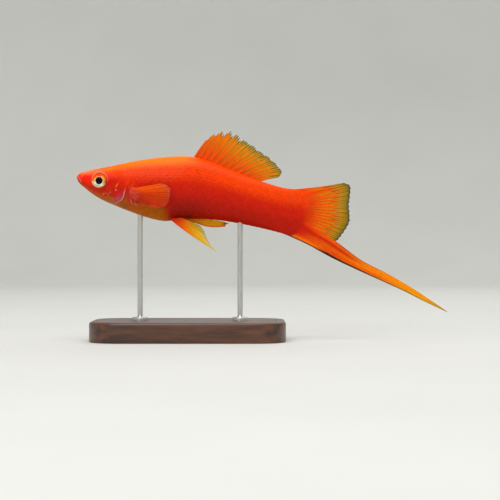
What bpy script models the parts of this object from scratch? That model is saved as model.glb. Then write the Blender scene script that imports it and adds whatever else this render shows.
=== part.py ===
"""A male red swordtail, life size, held nose up on a small display stand.

The fish is modelled along its own axis: x runs from the snout to the tail, y is
sideways with its left side at -y, and z is up its back. An empty then pitches it and
lifts it over the base. Sizes are millimetres, and MM turns them into metres.
"""

import math

import bmesh
import bpy
from mathutils import Vector

MM = 0.001
SMALLEST_EDGE = 1e-7
GAP = 0.3
PITCH = math.radians(9.0)
LEFT, RIGHT = -1, 1
SIDES = {LEFT: "left", RIGHT: "right"}

BODY_LENGTH = 71.0
# distance behind the snout, back above the axis, belly below it, half width
BODY_STATIONS = (
    (0.0, 0.90, 0.80, 1.10),
    (1.0, 1.65, 1.62, 1.70),
    (2.5, 2.28, 2.57, 2.15),
    (5.0, 3.32, 3.93, 2.75),
    (8.0, 4.40, 5.30, 3.35),
    (12.0, 5.87, 6.40, 4.05),
    (16.0, 7.42, 7.32, 4.65),
    (22.0, 9.32, 8.45, 5.15),
    (28.0, 10.80, 8.78, 5.20),
    (33.0, 11.55, 7.40, 4.95),
    (38.0, 11.05, 6.25, 4.50),
    (44.0, 9.75, 5.88, 3.85),
    (50.0, 8.35, 6.00, 3.15),
    (56.0, 7.35, 6.27, 2.50),
    (62.0, 6.62, 6.75, 1.90),
    (67.0, 6.85, 7.25, 1.30),
    (71.0, 6.40, 6.50, 0.60),
)
SNOUT_ROUNDING = 0.9
TAIL_ROUNDING = 5.5
TAIL_EDGE_ROUNDING = 0.8
WIDEST_SHARE = 0.54
HEAD_BOX = 0.90
HEAD_FLATNESS = 0.86
BELLY_PINCH = 1.12
HEAD_END = 14.0
BODY_SIDES = 36
BODY_RINGS = 54
HEAD_SIDES = 44
HEAD_RINGS = 80

# height and distance behind the snout, down the rear edge of the gill cover
GILL_EDGE = (
    (-8.5, 10.4),
    (-5.9, 12.6),
    (-4.4, 14.4),
    (-2.4, 14.95),
    (-0.4, 15.5),
    (0.8, 16.3),
    (1.6, 16.45),
    (2.6, 15.8),
    (4.0, 14.6),
    (6.0, 14.0),
    (9.0, 13.8),
)
GILL_MIDDLE = -0.6
GILL_HALF_HEIGHT = 4.2
GILL_FADE = 2.2
GILL_RISE = 0.45
GILL_LENGTH = 5.5
TAIL_STALK_START = 54.6
TAIL_STALK_BOW = 1.0
TAIL_STALK_HALF_HEIGHT = 8.0
BLOCK_LOW, BLOCK_HIGH = -15.0, 18.0
BLOCK_CUTS = 44
BLOCK_REACH = 160.0
BLOCK_WIDTH = 40.0

EYE_PLACE = (6.88, 0.30)
EYE_RADIUS = 2.40
EYE_HALF_DEPTH = 1.20
EYE_BULGE = 0.55
EYE_YAW = math.radians(14.0)
EYE_ROLL = math.radians(5.0)

MOUTH_TOP = (0.02, 0.92)
MOUTH_CORNER = (1.78, -1.25)
MOUTH_SLIT = 0.22
MOUTH_WIDTH = 8.0
LIP_RISE = 0.20
LIP_OFFSET = 0.36
LIP_HALF_WIDTH = 0.26
LIP_END = 1.1
LIP_CENTRE = Vector((2.6, 0.0, -0.2))
# distance behind the snout, height and radius of the two nostrils of each side
NOSTRILS = {"front": (1.75, 0.80, 0.22), "rear": (3.95, 1.95, 0.27)}

MEMBRANE = 0.50
RAY = 0.85
RAY_END = 0.55
TIP = 0.40
RIDGE_SHARE = 0.30
RAGGED_SHARE = 0.018

DORSAL_RAYS = 13
DORSAL_BASE = (33.2, 52.8)
DORSAL_MARGIN = (
    (36.6, 17.5),
    (38.9, 19.9),
    (43.4, 21.3),
    (48.5, 19.1),
    (52.6, 16.7),
    (57.2, 14.4),
    (60.6, 11.4),
    (60.2, 9.8),
    (57.0, 8.5),
)
DORSAL_SINK = 1.2
DORSAL_BOW = 0.9

FAN_RAYS = 16
FAN_ROOT = ((60.8, 5.75), (66.6, 5.0), (69.4, 0.9), (69.2, -1.0))
FAN_MARGIN = (
    (79.6, 11.0),
    (81.5, 10.3),
    (82.0, 4.6),
    (82.9, 0.2),
    (83.0, -2.2),
    (80.2, -5.4),
    (79.9, -6.5),
)
FAN_UPPER_BOW = -0.2
FAN_LOWER_BOW = -0.75

SWORD_RAYS = 5
SWORD_UPPER = (
    (69.2, -1.35),
    (73.6, -4.25),
    (79.9, -6.85),
    (88.3, -11.2),
    (96.5, -13.9),
    (104.7, -16.8),
    (110.9, -19.6),
    (115.9, -22.3),
)
SWORD_LOWER = (
    (60.6, -6.2),
    (66.1, -7.55),
    (71.8, -9.15),
    (79.0, -11.75),
    (87.3, -14.2),
    (95.3, -16.4),
    (102.5, -18.4),
    (108.7, -20.4),
    (115.9, -22.5),
)

PECTORAL_RAYS = 12
PECTORAL_BASE = ((17.5, -0.8), (18.7, -4.0))
PECTORAL_MARGIN = (
    (22.6, 0.95),
    (26.2, 1.95),
    (28.6, 0.9),
    (29.0, -1.6),
    (28.2, -4.2),
    (25.2, -5.6),
    (21.6, -5.3),
)
PECTORAL_SPREAD = math.radians(14.0)
PECTORAL_STANDOFF = 0.50
PECTORAL_LOBE = (0.95, 1.05, 2.1)
PECTORAL_LOBE_BEHIND = 0.2
PECTORAL_LOBE_DEPTH = 0.27
PECTORAL_LOBE_LEAN = math.radians(20.0)

PELVIC_RAYS = 6
PELVIC_ROOT = ((29.4, -7.7), (32.6, -6.3), (35.2, -5.6))
PELVIC_MARGIN = (
    (44.95, -15.5),
    (42.4, -13.45),
    (41.1, -11.5),
    (40.0, -9.65),
    (38.8, -8.5),
)
PELVIC_BOW = -1.1
PELVIC_BOW_SKEW = 0.65
PELVIC_OFFSET = 1.35
PELVIC_SPLAY = math.radians(16.0)

GONOPODIUM_RAYS = 3
GONOPODIUM_RAY = 1.1
GONOPODIUM_MEMBRANE = 0.75
GONOPODIUM_UPPER = ((35.9, -5.2), (38.8, -6.65), (42.5, -6.5), (45.4, -6.45), (47.3, -6.6))
GONOPODIUM_LOWER = ((34.4, -5.4), (37.8, -8.0), (40.4, -8.5), (43.2, -8.3), (46.4, -7.6))
GONOPODIUM_NOTCH = 1.0
GONOPODIUM_NOTCH_START = 0.86

SWORD_CLEARANCE = 2.5
BASE_SIZE = (58.0, 34.0, 6.0)
BASE_CORNER = 9.0
BASE_CORNER_SEGMENTS = 6
BASE_EDGE = 0.8
BASE_EDGE_SEGMENTS = 2
BASE_CENTRE_BEHIND_SNOUT = 33.5
ROD_RADIUS = 0.8
ROD_COLLAR_RADIUS = 1.15
ROD_FOOT_RADIUS = 2.4
ROD_FOOT_HEIGHT = 1.0
ROD_FOOT_EDGE = 0.3
ROD_SPARE = 3.0
ROD_SIDES = 16
FRONT_ROD_STATION = 20.5
REAR_ROD_STATION = 50.5

SKIN = ("fish_skin", (0.86, 0.10, 0.012), 0.42, 0.0)
FIN = ("fin_membrane", (0.92, 0.30, 0.02), 0.38, 0.0)
EYE = ("eye", (0.80, 0.66, 0.34), 0.12, 0.0)
WOOD = ("dark_wood", (0.10, 0.045, 0.022), 0.45, 0.0)
STEEL = ("brushed_steel", (0.62, 0.62, 0.60), 0.32, 1.0)


def clear_scene():
    for obj in list(bpy.data.objects):
        bpy.data.objects.remove(obj)


def new_collection(name):
    collection = bpy.data.collections.new(name)
    bpy.context.scene.collection.children.link(collection)
    return collection


def material(look):
    name, colour, roughness, metallic = look
    found = bpy.data.materials.get(name)
    if found:
        return found
    made = bpy.data.materials.new(name)
    made.use_nodes = True
    shader = made.node_tree.nodes["Principled BSDF"]
    shader.inputs["Base Color"].default_value = (*colour, 1.0)
    shader.inputs["Roughness"].default_value = roughness
    shader.inputs["Metallic"].default_value = metallic
    return made


def object_from(bm, name, collection, look=None, parent=None):
    """A new object from a bmesh held in millimetres, in its parent's frame."""
    bmesh.ops.recalc_face_normals(bm, faces=bm.faces)
    if bm.calc_volume(signed=True) < 0:
        bmesh.ops.reverse_faces(bm, faces=bm.faces)
    bmesh.ops.scale(bm, vec=Vector((MM, MM, MM)), verts=bm.verts)
    mesh = bpy.data.meshes.new(name)
    bm.to_mesh(mesh)
    bm.free()
    obj = bpy.data.objects.new(name, mesh)
    collection.objects.link(obj)
    obj.parent = parent
    if look:
        mesh.materials.append(material(look))
    return obj


def as_cutter(obj):
    obj.hide_render = True
    obj.display_type = "WIRE"
    return obj


def cut(obj, *cutters):
    for cutter in cutters:
        modifier = obj.modifiers.new("cut_" + cutter.name, "BOOLEAN")
        modifier.operation = "DIFFERENCE"
        modifier.solver = "EXACT"
        modifier.object = cutter


def islands(bm):
    """The closed surfaces of a bmesh, as lists of faces."""
    left = set(bm.faces)
    while left:
        front = [left.pop()]
        found = list(front)
        while front:
            face = front.pop()
            near = {other for edge in face.edges for other in edge.link_faces} & left
            left -= near
            front += near
            found += near
        yield found


def settle(obj):
    """Applies the object's modifiers and keeps its largest closed surface."""
    bpy.context.view_layer.update()
    graph = bpy.context.evaluated_depsgraph_get()
    mesh = bpy.data.meshes.new_from_object(obj.evaluated_get(graph))
    bm = bmesh.new()
    bm.from_mesh(mesh)
    scraps = sorted(islands(bm), key=len)[:-1]
    bmesh.ops.delete(bm, geom=[face for scrap in scraps for face in scrap], context="FACES")
    bmesh.ops.dissolve_degenerate(bm, edges=bm.edges, dist=SMALLEST_EDGE)
    bmesh.ops.triangulate(bm, faces=bm.faces)
    bm.to_mesh(mesh)
    bm.free()
    obj.modifiers.clear()
    obj.vertex_groups.clear()
    obj.data = mesh
    return obj


def fuse(obj, *pieces):
    """Joins closed pieces to the object by one union, and removes them."""
    group = bpy.data.collections.new("fused_pieces")
    bpy.context.scene.collection.children.link(group)
    for piece in pieces:
        group.objects.link(piece)
    modifier = obj.modifiers.new("union", "BOOLEAN")
    modifier.operation = "UNION"
    modifier.solver = "EXACT"
    modifier.operand_type = "COLLECTION"
    modifier.collection = group
    settle(obj)
    for piece in pieces:
        bpy.data.objects.remove(piece)
    bpy.data.collections.remove(group)
    return obj


def clamp(value, low=0.0, high=1.0):
    return max(low, min(high, value))


def smoothstep(value):
    value = clamp(value)
    return value * value * (3.0 - 2.0 * value)


def signed_power(value, power):
    return math.copysign(abs(value) ** power, value)


def quarter_round(share):
    """The height of a quarter circle, from 0 at its start to 1 at its end."""
    share = clamp(share)
    return math.sqrt(share * (2.0 - share))


def smooth_value(x, xs, ys):
    """A smooth curve through the points (xs, ys), read at x."""
    last = len(xs) - 2
    i = min(sum(1 for knot in xs[1:-1] if x >= knot), last)

    def slope(k):
        low, high = max(k - 1, 0), min(k + 1, len(xs) - 1)
        return (ys[high] - ys[low]) / (xs[high] - xs[low])

    span = xs[i + 1] - xs[i]
    t = clamp((x - xs[i]) / span)
    start, end = slope(i) * span, slope(i + 1) * span
    a = 2 * t**3 - 3 * t**2 + 1
    b = t**3 - 2 * t**2 + t
    c = -2 * t**3 + 3 * t**2
    d = t**3 - t**2
    return a * ys[i] + b * start + c * ys[i + 1] + d * end


def curve_through(points):
    """A function of 0 to 1 that runs smoothly through the points, by distance along them."""
    knots = [0.0]
    for before, after in zip(points, points[1:]):
        knots.append(knots[-1] + math.dist(before, after))
    knots = [knot / knots[-1] for knot in knots]
    return lambda t: tuple(smooth_value(t, knots, axis) for axis in zip(*points))


def body_size(station):
    """Back height, belly height and half width of the body at a distance behind the snout."""
    distances, backs, bellies, widths = zip(*BODY_STATIONS)
    station = clamp(station, 0.0, BODY_LENGTH)
    snout = quarter_round(station / SNOUT_ROUNDING)
    tail = quarter_round((BODY_LENGTH - station) / TAIL_ROUNDING)
    tail_edge = quarter_round((BODY_LENGTH - station) / TAIL_EDGE_ROUNDING)
    back = smooth_value(station, distances, backs) * snout * tail
    belly = -smooth_value(station, distances, bellies) * snout * tail
    width = smooth_value(station, distances, widths) * snout * tail_edge
    return back, belly, width


def section_powers(station, up):
    """How far a section of the body departs from an ellipse, across it and up it."""
    trunk = smoothstep((station - HEAD_END) / HEAD_END)
    across = HEAD_BOX + (1.0 - HEAD_BOX) * trunk
    if up < 0:
        across += (BELLY_PINCH - 1.0) * trunk
    return across, HEAD_FLATNESS + (1.0 - HEAD_FLATNESS) * trunk


def widest_height(back, belly):
    return belly + WIDEST_SHARE * (back - belly)


def gill_edge(height):
    """How far behind the snout the gill cover's rear edge lies at a height."""
    heights, stations = zip(*GILL_EDGE)
    return smooth_value(height, heights, stations)


def stalk_edge(height):
    """How far behind the snout the tail stalk starts at a height."""
    return TAIL_STALK_START - TAIL_STALK_BOW * (height / TAIL_STALK_HALF_HEIGHT) ** 2


def gill_rise(station, height):
    """How far the gill cover stands out of the head's side."""
    along = smoothstep((station - gill_edge(height) + GILL_LENGTH) / GILL_LENGTH)
    across = smoothstep((GILL_HALF_HEIGHT + GILL_FADE - abs(height - GILL_MIDDLE)) / GILL_FADE)
    return GILL_RISE * along * across


def lip_rise(station, height):
    """How far the lips stand out, on both sides of the line of the mouth."""
    (x0, z0), (x1, z1) = MOUTH_TOP, MOUTH_CORNER
    length = math.hypot(x1 - x0, z1 - z0)
    along = ((station - x0) * (x1 - x0) + (height - z0) * (z1 - z0)) / length
    off = ((station - x0) * (z0 - z1) + (height - z0) * (x1 - x0)) / length
    fold = math.exp(-(((abs(off) - LIP_OFFSET) / LIP_HALF_WIDTH) ** 2))
    return LIP_RISE * fold * smoothstep((length + LIP_END - along) / LIP_END)


def body_point(station, angle, outset=0.0, head=False):
    """A point of the body's surface, where angle runs round the section from its right side."""
    back, belly, width = body_size(station)
    widest = widest_height(back, belly)
    across, up = math.cos(angle), math.sin(angle)
    across_power, up_power = section_powers(station, up)
    reach = (back - widest if up > 0 else widest - belly) + outset
    z = widest + reach * signed_power(up, up_power)
    y = (width + outset) * abs(across) ** across_power
    if head:
        y += gill_rise(station, z) * math.sqrt(abs(across))
    place = Vector((station, math.copysign(y, across), z))
    if head:
        place += (place - LIP_CENTRE).normalized() * lip_rise(station, z)
    return place


def flank(station, height):
    """Half the body's width at a distance behind the snout and a height."""
    back, belly, width = body_size(station)
    widest = widest_height(back, belly)
    reach = back - widest if height > widest else widest - belly
    across_power, up_power = section_powers(station, height - widest)
    up = clamp(abs(height - widest) / reach) ** (1.0 / up_power)
    return width * math.sqrt(1.0 - up * up) ** across_power


def body_shell(name, collection, parent, look=None, outset=0.0, head=False):
    """The whole body from snout to tail root, shaped from a sphere whose poles are its ends."""
    sides, rings = (HEAD_SIDES, HEAD_RINGS) if head else (BODY_SIDES, BODY_RINGS)
    stretch = (BODY_LENGTH + 2 * outset) / BODY_LENGTH
    bm = bmesh.new()
    bmesh.ops.create_uvsphere(bm, u_segments=sides, v_segments=rings, radius=1.0)
    for vert in bm.verts:
        station = BODY_LENGTH * (1.0 - vert.co.z) / 2.0
        if math.hypot(vert.co.x, vert.co.y) < 1e-6:
            back, belly, _ = body_size(station)
            place = Vector((station, 0.0, (back + belly) / 2.0))
        else:
            place = body_point(station, math.atan2(vert.co.y, vert.co.x), outset, head)
        place.x = place.x * stretch - outset
        vert.co = place
    return object_from(bm, name, collection, look, parent)


def bowed_block(name, collection, parent, edge, behind):
    """A big block behind or before edge(height), which parts the body half a gap off it."""
    side = 1.0 if behind else -1.0
    bm = bmesh.new()
    bmesh.ops.create_cube(bm, size=1.0)
    upright = [e for e in bm.edges if abs(e.verts[0].co.z - e.verts[1].co.z) > 0.5]
    bmesh.ops.subdivide_edges(bm, edges=upright, cuts=BLOCK_CUTS, use_grid_fill=True)
    for vert in bm.verts:
        height = BLOCK_LOW + (vert.co.z + 0.5) * (BLOCK_HIGH - BLOCK_LOW)
        shaped = vert.co.x * side < 0
        x = edge(height) - side * GAP / 2.0 if shaped else side * BLOCK_REACH
        vert.co = Vector((x, vert.co.y * BLOCK_WIDTH, height))
    return as_cutter(object_from(bm, name, collection, None, parent))


def fin_sheet(name, place, rays, rows, collection, parent, ray=RAY, membrane=MEMBRANE):
    """A thin fin: a grid placed by place(across, along) and thickened, with a ridge at each ray.

    Each space between two rays has three columns: a ray's crest and the feet of the ridges
    on its two sides. The margin is drawn in a little between the rays.
    """
    columns = 3 * (rays - 1)
    feet = (0.0, RIDGE_SHARE, 1.0 - RIDGE_SHARE)
    bm = bmesh.new()
    bmesh.ops.create_grid(bm, x_segments=columns, y_segments=rows, size=1.0)
    thicknesses = []
    for vert in bm.verts:
        space, foot = divmod(round((vert.co.x + 1.0) / 2.0 * columns), 3)
        across, along = (space + feet[foot]) / (rays - 1), (vert.co.y + 1.0) / 2.0
        at_margin = along > 0.999
        if at_margin:
            thicknesses.append(TIP)
        elif foot == 0:
            thicknesses.append(ray + (RAY_END - ray) * along)
        else:
            thicknesses.append(membrane)
        if at_margin and foot:
            along -= RAGGED_SHARE
        vert.co = Vector(place(across, along))
    bmesh.ops.triangulate(bm, faces=bm.faces)
    obj = object_from(bm, name, collection, FIN, parent)
    group = obj.vertex_groups.new(name="thickness")
    for index, thickness in enumerate(thicknesses):
        group.add([index], thickness / ray, "REPLACE")
    solidify = obj.modifiers.new("thickness", "SOLIDIFY")
    solidify.thickness = ray * MM
    solidify.offset = 0.0
    solidify.vertex_group = group.name
    solidify.thickness_vertex_group = 0.0
    return obj


def flat_fin(root, margin, bow, skew=1.0):
    """Points of a fin in the fish's middle plane, from a root curve to a margin curve."""

    def place(across, along):
        (x0, z0), (x1, z1) = root(across), margin(across)
        lift = math.sin(math.pi * along**skew) * bow(across)
        reach = math.hypot(x1 - x0, z1 - z0)
        x = x0 + (x1 - x0) * along - lift * (z1 - z0) / reach
        z = z0 + (z1 - z0) * along + lift * (x1 - x0) / reach
        return x, 0.0, z

    return place


def blade(upper, lower):
    """Points of a long blade between its upper and its lower edge."""

    def place(across, along):
        (x0, z0), (x1, z1) = upper(along), lower(along)
        return x0 + (x1 - x0) * across, 0.0, z0 + (z1 - z0) * across

    return place


def dorsal_fin(collection, parent, clearance):
    front, rear = DORSAL_BASE

    def root(across):
        station = front + (rear - front) * across
        return station, body_size(station)[0] - DORSAL_SINK

    place = flat_fin(root, curve_through(DORSAL_MARGIN), lambda across: DORSAL_BOW * (1.0 - across))
    fin = fin_sheet("dorsal_fin", place, DORSAL_RAYS, 8, collection, parent)
    cut(fin, clearance)
    settle(fin)


def caudal_fin(collection, parent, clearance):
    def bow(across):
        return FAN_UPPER_BOW * (1.0 - across) ** 3 + FAN_LOWER_BOW * across**3

    place = flat_fin(curve_through(FAN_ROOT), curve_through(FAN_MARGIN), bow)
    fin = fin_sheet("caudal_fin", place, FAN_RAYS, 7, collection, parent)
    cut(fin, clearance)
    settle(fin)


def sword(collection, parent, clearance):
    """The long lower lobe of the male's tail fin."""
    place = blade(curve_through(SWORD_UPPER), curve_through(SWORD_LOWER))
    fin = fin_sheet("sword", place, SWORD_RAYS, 20, collection, parent)
    cut(fin, clearance)
    settle(fin)


def pectoral_fin(side, collection, parent, clearance):
    """A fan on the flank behind the gill cover, on a fleshy base that is sunk into the body."""
    name = "pectoral_fin_" + SIDES[side]
    margin = curve_through(PECTORAL_MARGIN)
    (x_top, z_top), (x_low, z_low) = PECTORAL_BASE
    middle = Vector(((x_top + x_low) / 2.0, 0.0, (z_top + z_low) / 2.0))
    root = flank(middle.x, middle.z) + PECTORAL_STANDOFF

    def place(across, along):
        x0, z0 = x_top + (x_low - x_top) * across, z_top + (z_low - z_top) * across
        x1, z1 = margin(across)
        x, z = x0 + (x1 - x0) * along, z0 + (z1 - z0) * along
        return x, side * (root + (x - x_top) * math.tan(PECTORAL_SPREAD)), z

    fin = fin_sheet(name, place, PECTORAL_RAYS, 6, collection, parent)
    settle(fin)
    bm = bmesh.new()
    bmesh.ops.create_uvsphere(bm, u_segments=14, v_segments=10, radius=1.0)
    for vert in bm.verts:
        x, y, z = (vert.co[i] * PECTORAL_LOBE[i] for i in range(3))
        x += PECTORAL_LOBE_BEHIND - math.sin(PECTORAL_LOBE_LEAN) * z
        vert.co = middle + Vector((x, side * (root - PECTORAL_LOBE_DEPTH) + y, z))
    lobe = object_from(bm, name + "_lobe", collection, FIN, parent)
    fuse(fin, lobe)
    cut(fin, clearance)
    settle(fin)


def pelvic_fin(side, collection, parent, clearance):
    def bow(across):
        return PELVIC_BOW * (1.0 - across)

    flat = flat_fin(curve_through(PELVIC_ROOT), curve_through(PELVIC_MARGIN), bow, PELVIC_BOW_SKEW)
    hinge = PELVIC_ROOT[0][1]

    def place(across, along):
        x, _, z = flat(across, along)
        return x, side * (PELVIC_OFFSET + (hinge - z) * math.tan(PELVIC_SPLAY)), z

    fin = fin_sheet("pelvic_fin_" + SIDES[side], place, PELVIC_RAYS, 8, collection, parent)
    cut(fin, clearance)
    settle(fin)


def gonopodium(collection, parent, clearance):
    """The male's rod of fused anal fin rays, folded back under the belly, with a forked tip."""
    flat = blade(curve_through(GONOPODIUM_UPPER), curve_through(GONOPODIUM_LOWER))

    def place(across, along):
        x, y, z = flat(across, along)
        near_tip = smoothstep((along - GONOPODIUM_NOTCH_START) / (1.0 - GONOPODIUM_NOTCH_START))
        return x - GONOPODIUM_NOTCH * math.sin(math.pi * across) * near_tip, y, z

    rod = fin_sheet(
        "gonopodium", place, GONOPODIUM_RAYS, 12, collection, parent, GONOPODIUM_RAY,
        GONOPODIUM_MEMBRANE,
    )
    cut(rod, clearance)
    settle(rod)


def spheroid(name, collection, parent, radius, half_depth, side, look=None):
    """An eyeball shape at the eye's place, turned to lie in the slope of the cheek."""
    bm = bmesh.new()
    bmesh.ops.create_uvsphere(bm, u_segments=24, v_segments=14, radius=1.0)
    bmesh.ops.scale(bm, vec=Vector((radius, radius, half_depth)), verts=bm.verts)
    obj = object_from(bm, name, collection, look, parent)
    station, height = EYE_PLACE
    out = flank(station, height) + EYE_BULGE - EYE_HALF_DEPTH
    obj.location = Vector((station, side * out, height)) * MM
    obj.rotation_euler = (-side * (math.pi / 2 - EYE_ROLL), 0.0, side * EYE_YAW)
    return obj


def eyes(parts, cutters, parent):
    """Both eyeballs, and the sockets that are cut for them."""
    sockets = []
    for side, name in SIDES.items():
        spheroid("eye_" + name, parts, parent, EYE_RADIUS, EYE_HALF_DEPTH, side, EYE)
        hole = spheroid(
            "socket_" + name, cutters, parent, EYE_RADIUS + GAP, EYE_HALF_DEPTH + GAP, side
        )
        sockets.append(as_cutter(hole))
    return sockets


def mouth_cutter(collection, parent):
    """A thin slab that opens the mouth line from the top of the snout back to its corner."""
    (x0, z0), (x1, z1) = MOUTH_TOP, MOUTH_CORNER
    length = math.hypot(x1 - x0, z1 - z0)
    bm = bmesh.new()
    bmesh.ops.create_cube(bm, size=1.0)
    bmesh.ops.scale(bm, vec=Vector((2 * length, MOUTH_WIDTH, MOUTH_SLIT)), verts=bm.verts)
    slab = object_from(bm, "mouth_slit", collection, None, parent)
    slab.location = Vector((x0, 0.0, z0)) * MM
    slab.rotation_euler = (0.0, math.atan2(z0 - z1, x1 - x0), 0.0)
    return as_cutter(slab)


def nostril_cutters(collection, parent):
    holes = []
    for side, side_name in SIDES.items():
        for place_name, (station, height, radius) in NOSTRILS.items():
            bm = bmesh.new()
            bmesh.ops.create_uvsphere(bm, u_segments=10, v_segments=6, radius=radius)
            name = "nostril_" + place_name + "_" + side_name
            hole = object_from(bm, name, collection, None, parent)
            hole.location = Vector((station, side * flank(station, height), height)) * MM
            holes.append(as_cutter(hole))
    return holes


def flesh(parts, cutters, parent):
    """Head, torso and tail stalk, parted by thin gaps at the gill edge and before the tail."""
    behind_gill = bowed_block("behind_gill", cutters, parent, gill_edge, True)
    before_gill = bowed_block("before_gill", cutters, parent, gill_edge, False)
    behind_stalk = bowed_block("behind_stalk", cutters, parent, stalk_edge, True)
    before_stalk = bowed_block("before_stalk", cutters, parent, stalk_edge, False)
    sockets = eyes(parts, cutters, parent)
    mouth = mouth_cutter(cutters, parent)
    nostrils = nostril_cutters(cutters, parent)
    head = body_shell("head", parts, parent, SKIN, head=True)
    cut(head, behind_gill, *sockets, mouth, *nostrils)
    torso = body_shell("torso", parts, parent, SKIN)
    cut(torso, before_gill, behind_stalk)
    stalk = body_shell("tail_stalk", parts, parent, SKIN)
    cut(stalk, before_stalk)
    for piece in (head, torso, stalk):
        settle(piece)


def fish_to_world(station, z):
    """World x and z, in millimetres, of a point in the fish's middle plane."""
    lift = snout_height()
    x = station * math.cos(PITCH) + z * math.sin(PITCH) - BASE_CENTRE_BEHIND_SNOUT
    return x, lift - station * math.sin(PITCH) + z * math.cos(PITCH)


def snout_height():
    """The snout's height, which holds the sword's tip clear of the base's top."""
    x, z = SWORD_LOWER[-1]
    drop = x * math.sin(PITCH) - z * math.cos(PITCH)
    return BASE_SIZE[2] + SWORD_CLEARANCE + drop


def round_over(bm, edges, offset, segments):
    bmesh.ops.bevel(
        bm, geom=edges, offset=offset, segments=segments, profile=0.5, affect="EDGES", material=-1
    )


def stand_base(collection):
    """A flat wooden base with round corners and a softened edge, its underside at z = 0."""
    height = BASE_SIZE[2]
    bm = bmesh.new()
    bmesh.ops.create_cube(bm, size=1.0)
    bmesh.ops.scale(bm, vec=Vector(BASE_SIZE), verts=bm.verts)
    bmesh.ops.translate(bm, vec=Vector((0, 0, height / 2)), verts=bm.verts)
    upright = [e for e in bm.edges if abs(e.verts[0].co.z - e.verts[1].co.z) > height / 2]
    round_over(bm, upright, BASE_CORNER, BASE_CORNER_SEGMENTS)
    rim = [e for e in bm.edges if min(v.co.z for v in e.verts) > height - 0.01]
    round_over(bm, rim, BASE_EDGE, BASE_EDGE_SEGMENTS)
    object_from(bm, "stand_base", collection, WOOD)


def stand_rod(name, station, collection, clearance):
    """A turned steel rod with a round foot, cut to the belly's shape at its top."""
    x, top = fish_to_world(station, body_size(station)[1])
    foot = BASE_SIZE[2] + GAP
    shoulder = foot + ROD_FOOT_HEIGHT
    profile = (
        (0.0, top + ROD_SPARE),
        (ROD_RADIUS, top + ROD_SPARE),
        (ROD_RADIUS, shoulder + ROD_FOOT_HEIGHT),
        (ROD_COLLAR_RADIUS, shoulder + ROD_FOOT_EDGE),
        (ROD_FOOT_RADIUS - ROD_FOOT_EDGE, shoulder),
        (ROD_FOOT_RADIUS, shoulder - ROD_FOOT_EDGE),
        (ROD_FOOT_RADIUS, foot),
        (0.0, foot),
    )
    bm = bmesh.new()
    chain = [bm.verts.new((radius * MM, 0.0, z * MM)) for radius, z in profile]
    for before, after in zip(chain, chain[1:]):
        bm.edges.new((before, after))
    mesh = bpy.data.meshes.new(name)
    bm.to_mesh(mesh)
    bm.free()
    mesh.materials.append(material(STEEL))
    rod = bpy.data.objects.new(name, mesh)
    collection.objects.link(rod)
    rod.location = (x * MM, 0.0, 0.0)
    screw = rod.modifiers.new("turn", "SCREW")
    screw.steps = ROD_SIDES
    screw.render_steps = ROD_SIDES
    screw.use_merge_vertices = True
    screw.merge_threshold = 0.00001
    cut(rod, clearance)
    settle(rod)


def main():
    clear_scene()
    parts = new_collection("swordtail")
    cutters = new_collection("cutters")
    pose = bpy.data.objects.new("fish_pose", None)
    parts.objects.link(pose)
    pose.location = Vector((-BASE_CENTRE_BEHIND_SNOUT, 0.0, snout_height())) * MM
    pose.rotation_euler = (0.0, PITCH, 0.0)
    clearance = as_cutter(body_shell("body_clearance", cutters, pose, outset=GAP))
    flesh(parts, cutters, pose)
    dorsal_fin(parts, pose, clearance)
    caudal_fin(parts, pose, clearance)
    sword(parts, pose, clearance)
    gonopodium(parts, pose, clearance)
    for side in SIDES:
        pectoral_fin(side, parts, pose, clearance)
        pelvic_fin(side, parts, pose, clearance)
    stand_base(parts)
    stand_rod("stand_rod_front", FRONT_ROD_STATION, parts, clearance)
    stand_rod("stand_rod_rear", REAR_ROD_STATION, parts, clearance)


main()
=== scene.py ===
"""The looks of a life-size male red swordtail: its skin, eyes and fins, the stand and the studio.

The fish is shaped in millimetres along its own axis, as its solids are: x runs from the
snout to the tail, y is sideways with the left side at -y, and z is up its back. FISH_TO_ROW
pitches it nose up over the base and turns millimetres into metres.
"""

import math

import bmesh
import bpy
import numpy as np
from mathutils import Matrix, Vector


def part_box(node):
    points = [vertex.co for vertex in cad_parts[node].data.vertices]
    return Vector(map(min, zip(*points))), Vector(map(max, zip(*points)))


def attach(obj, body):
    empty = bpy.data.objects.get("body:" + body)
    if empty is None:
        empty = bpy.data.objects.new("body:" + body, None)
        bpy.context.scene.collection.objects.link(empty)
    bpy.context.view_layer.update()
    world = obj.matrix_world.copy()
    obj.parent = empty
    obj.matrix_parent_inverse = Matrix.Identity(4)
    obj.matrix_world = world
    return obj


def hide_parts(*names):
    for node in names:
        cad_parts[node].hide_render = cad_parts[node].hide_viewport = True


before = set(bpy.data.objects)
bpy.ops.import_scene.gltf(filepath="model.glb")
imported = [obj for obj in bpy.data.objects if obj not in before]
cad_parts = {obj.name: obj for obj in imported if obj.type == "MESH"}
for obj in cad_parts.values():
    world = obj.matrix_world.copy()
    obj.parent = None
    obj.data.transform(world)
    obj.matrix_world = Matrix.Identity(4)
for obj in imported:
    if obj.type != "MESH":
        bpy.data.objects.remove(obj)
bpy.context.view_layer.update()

MM = 0.001
LEFT, RIGHT = -1, 1
SIDES = {LEFT: "left", RIGHT: "right"}
PITCH = math.radians(9.0)
SNOUT_BEFORE_BASE = 33.5
SWORD_CLEARANCE = 2.5
BASE_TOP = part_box("stand_base")[1].z / MM

BODY_LENGTH = 71.0
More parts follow.
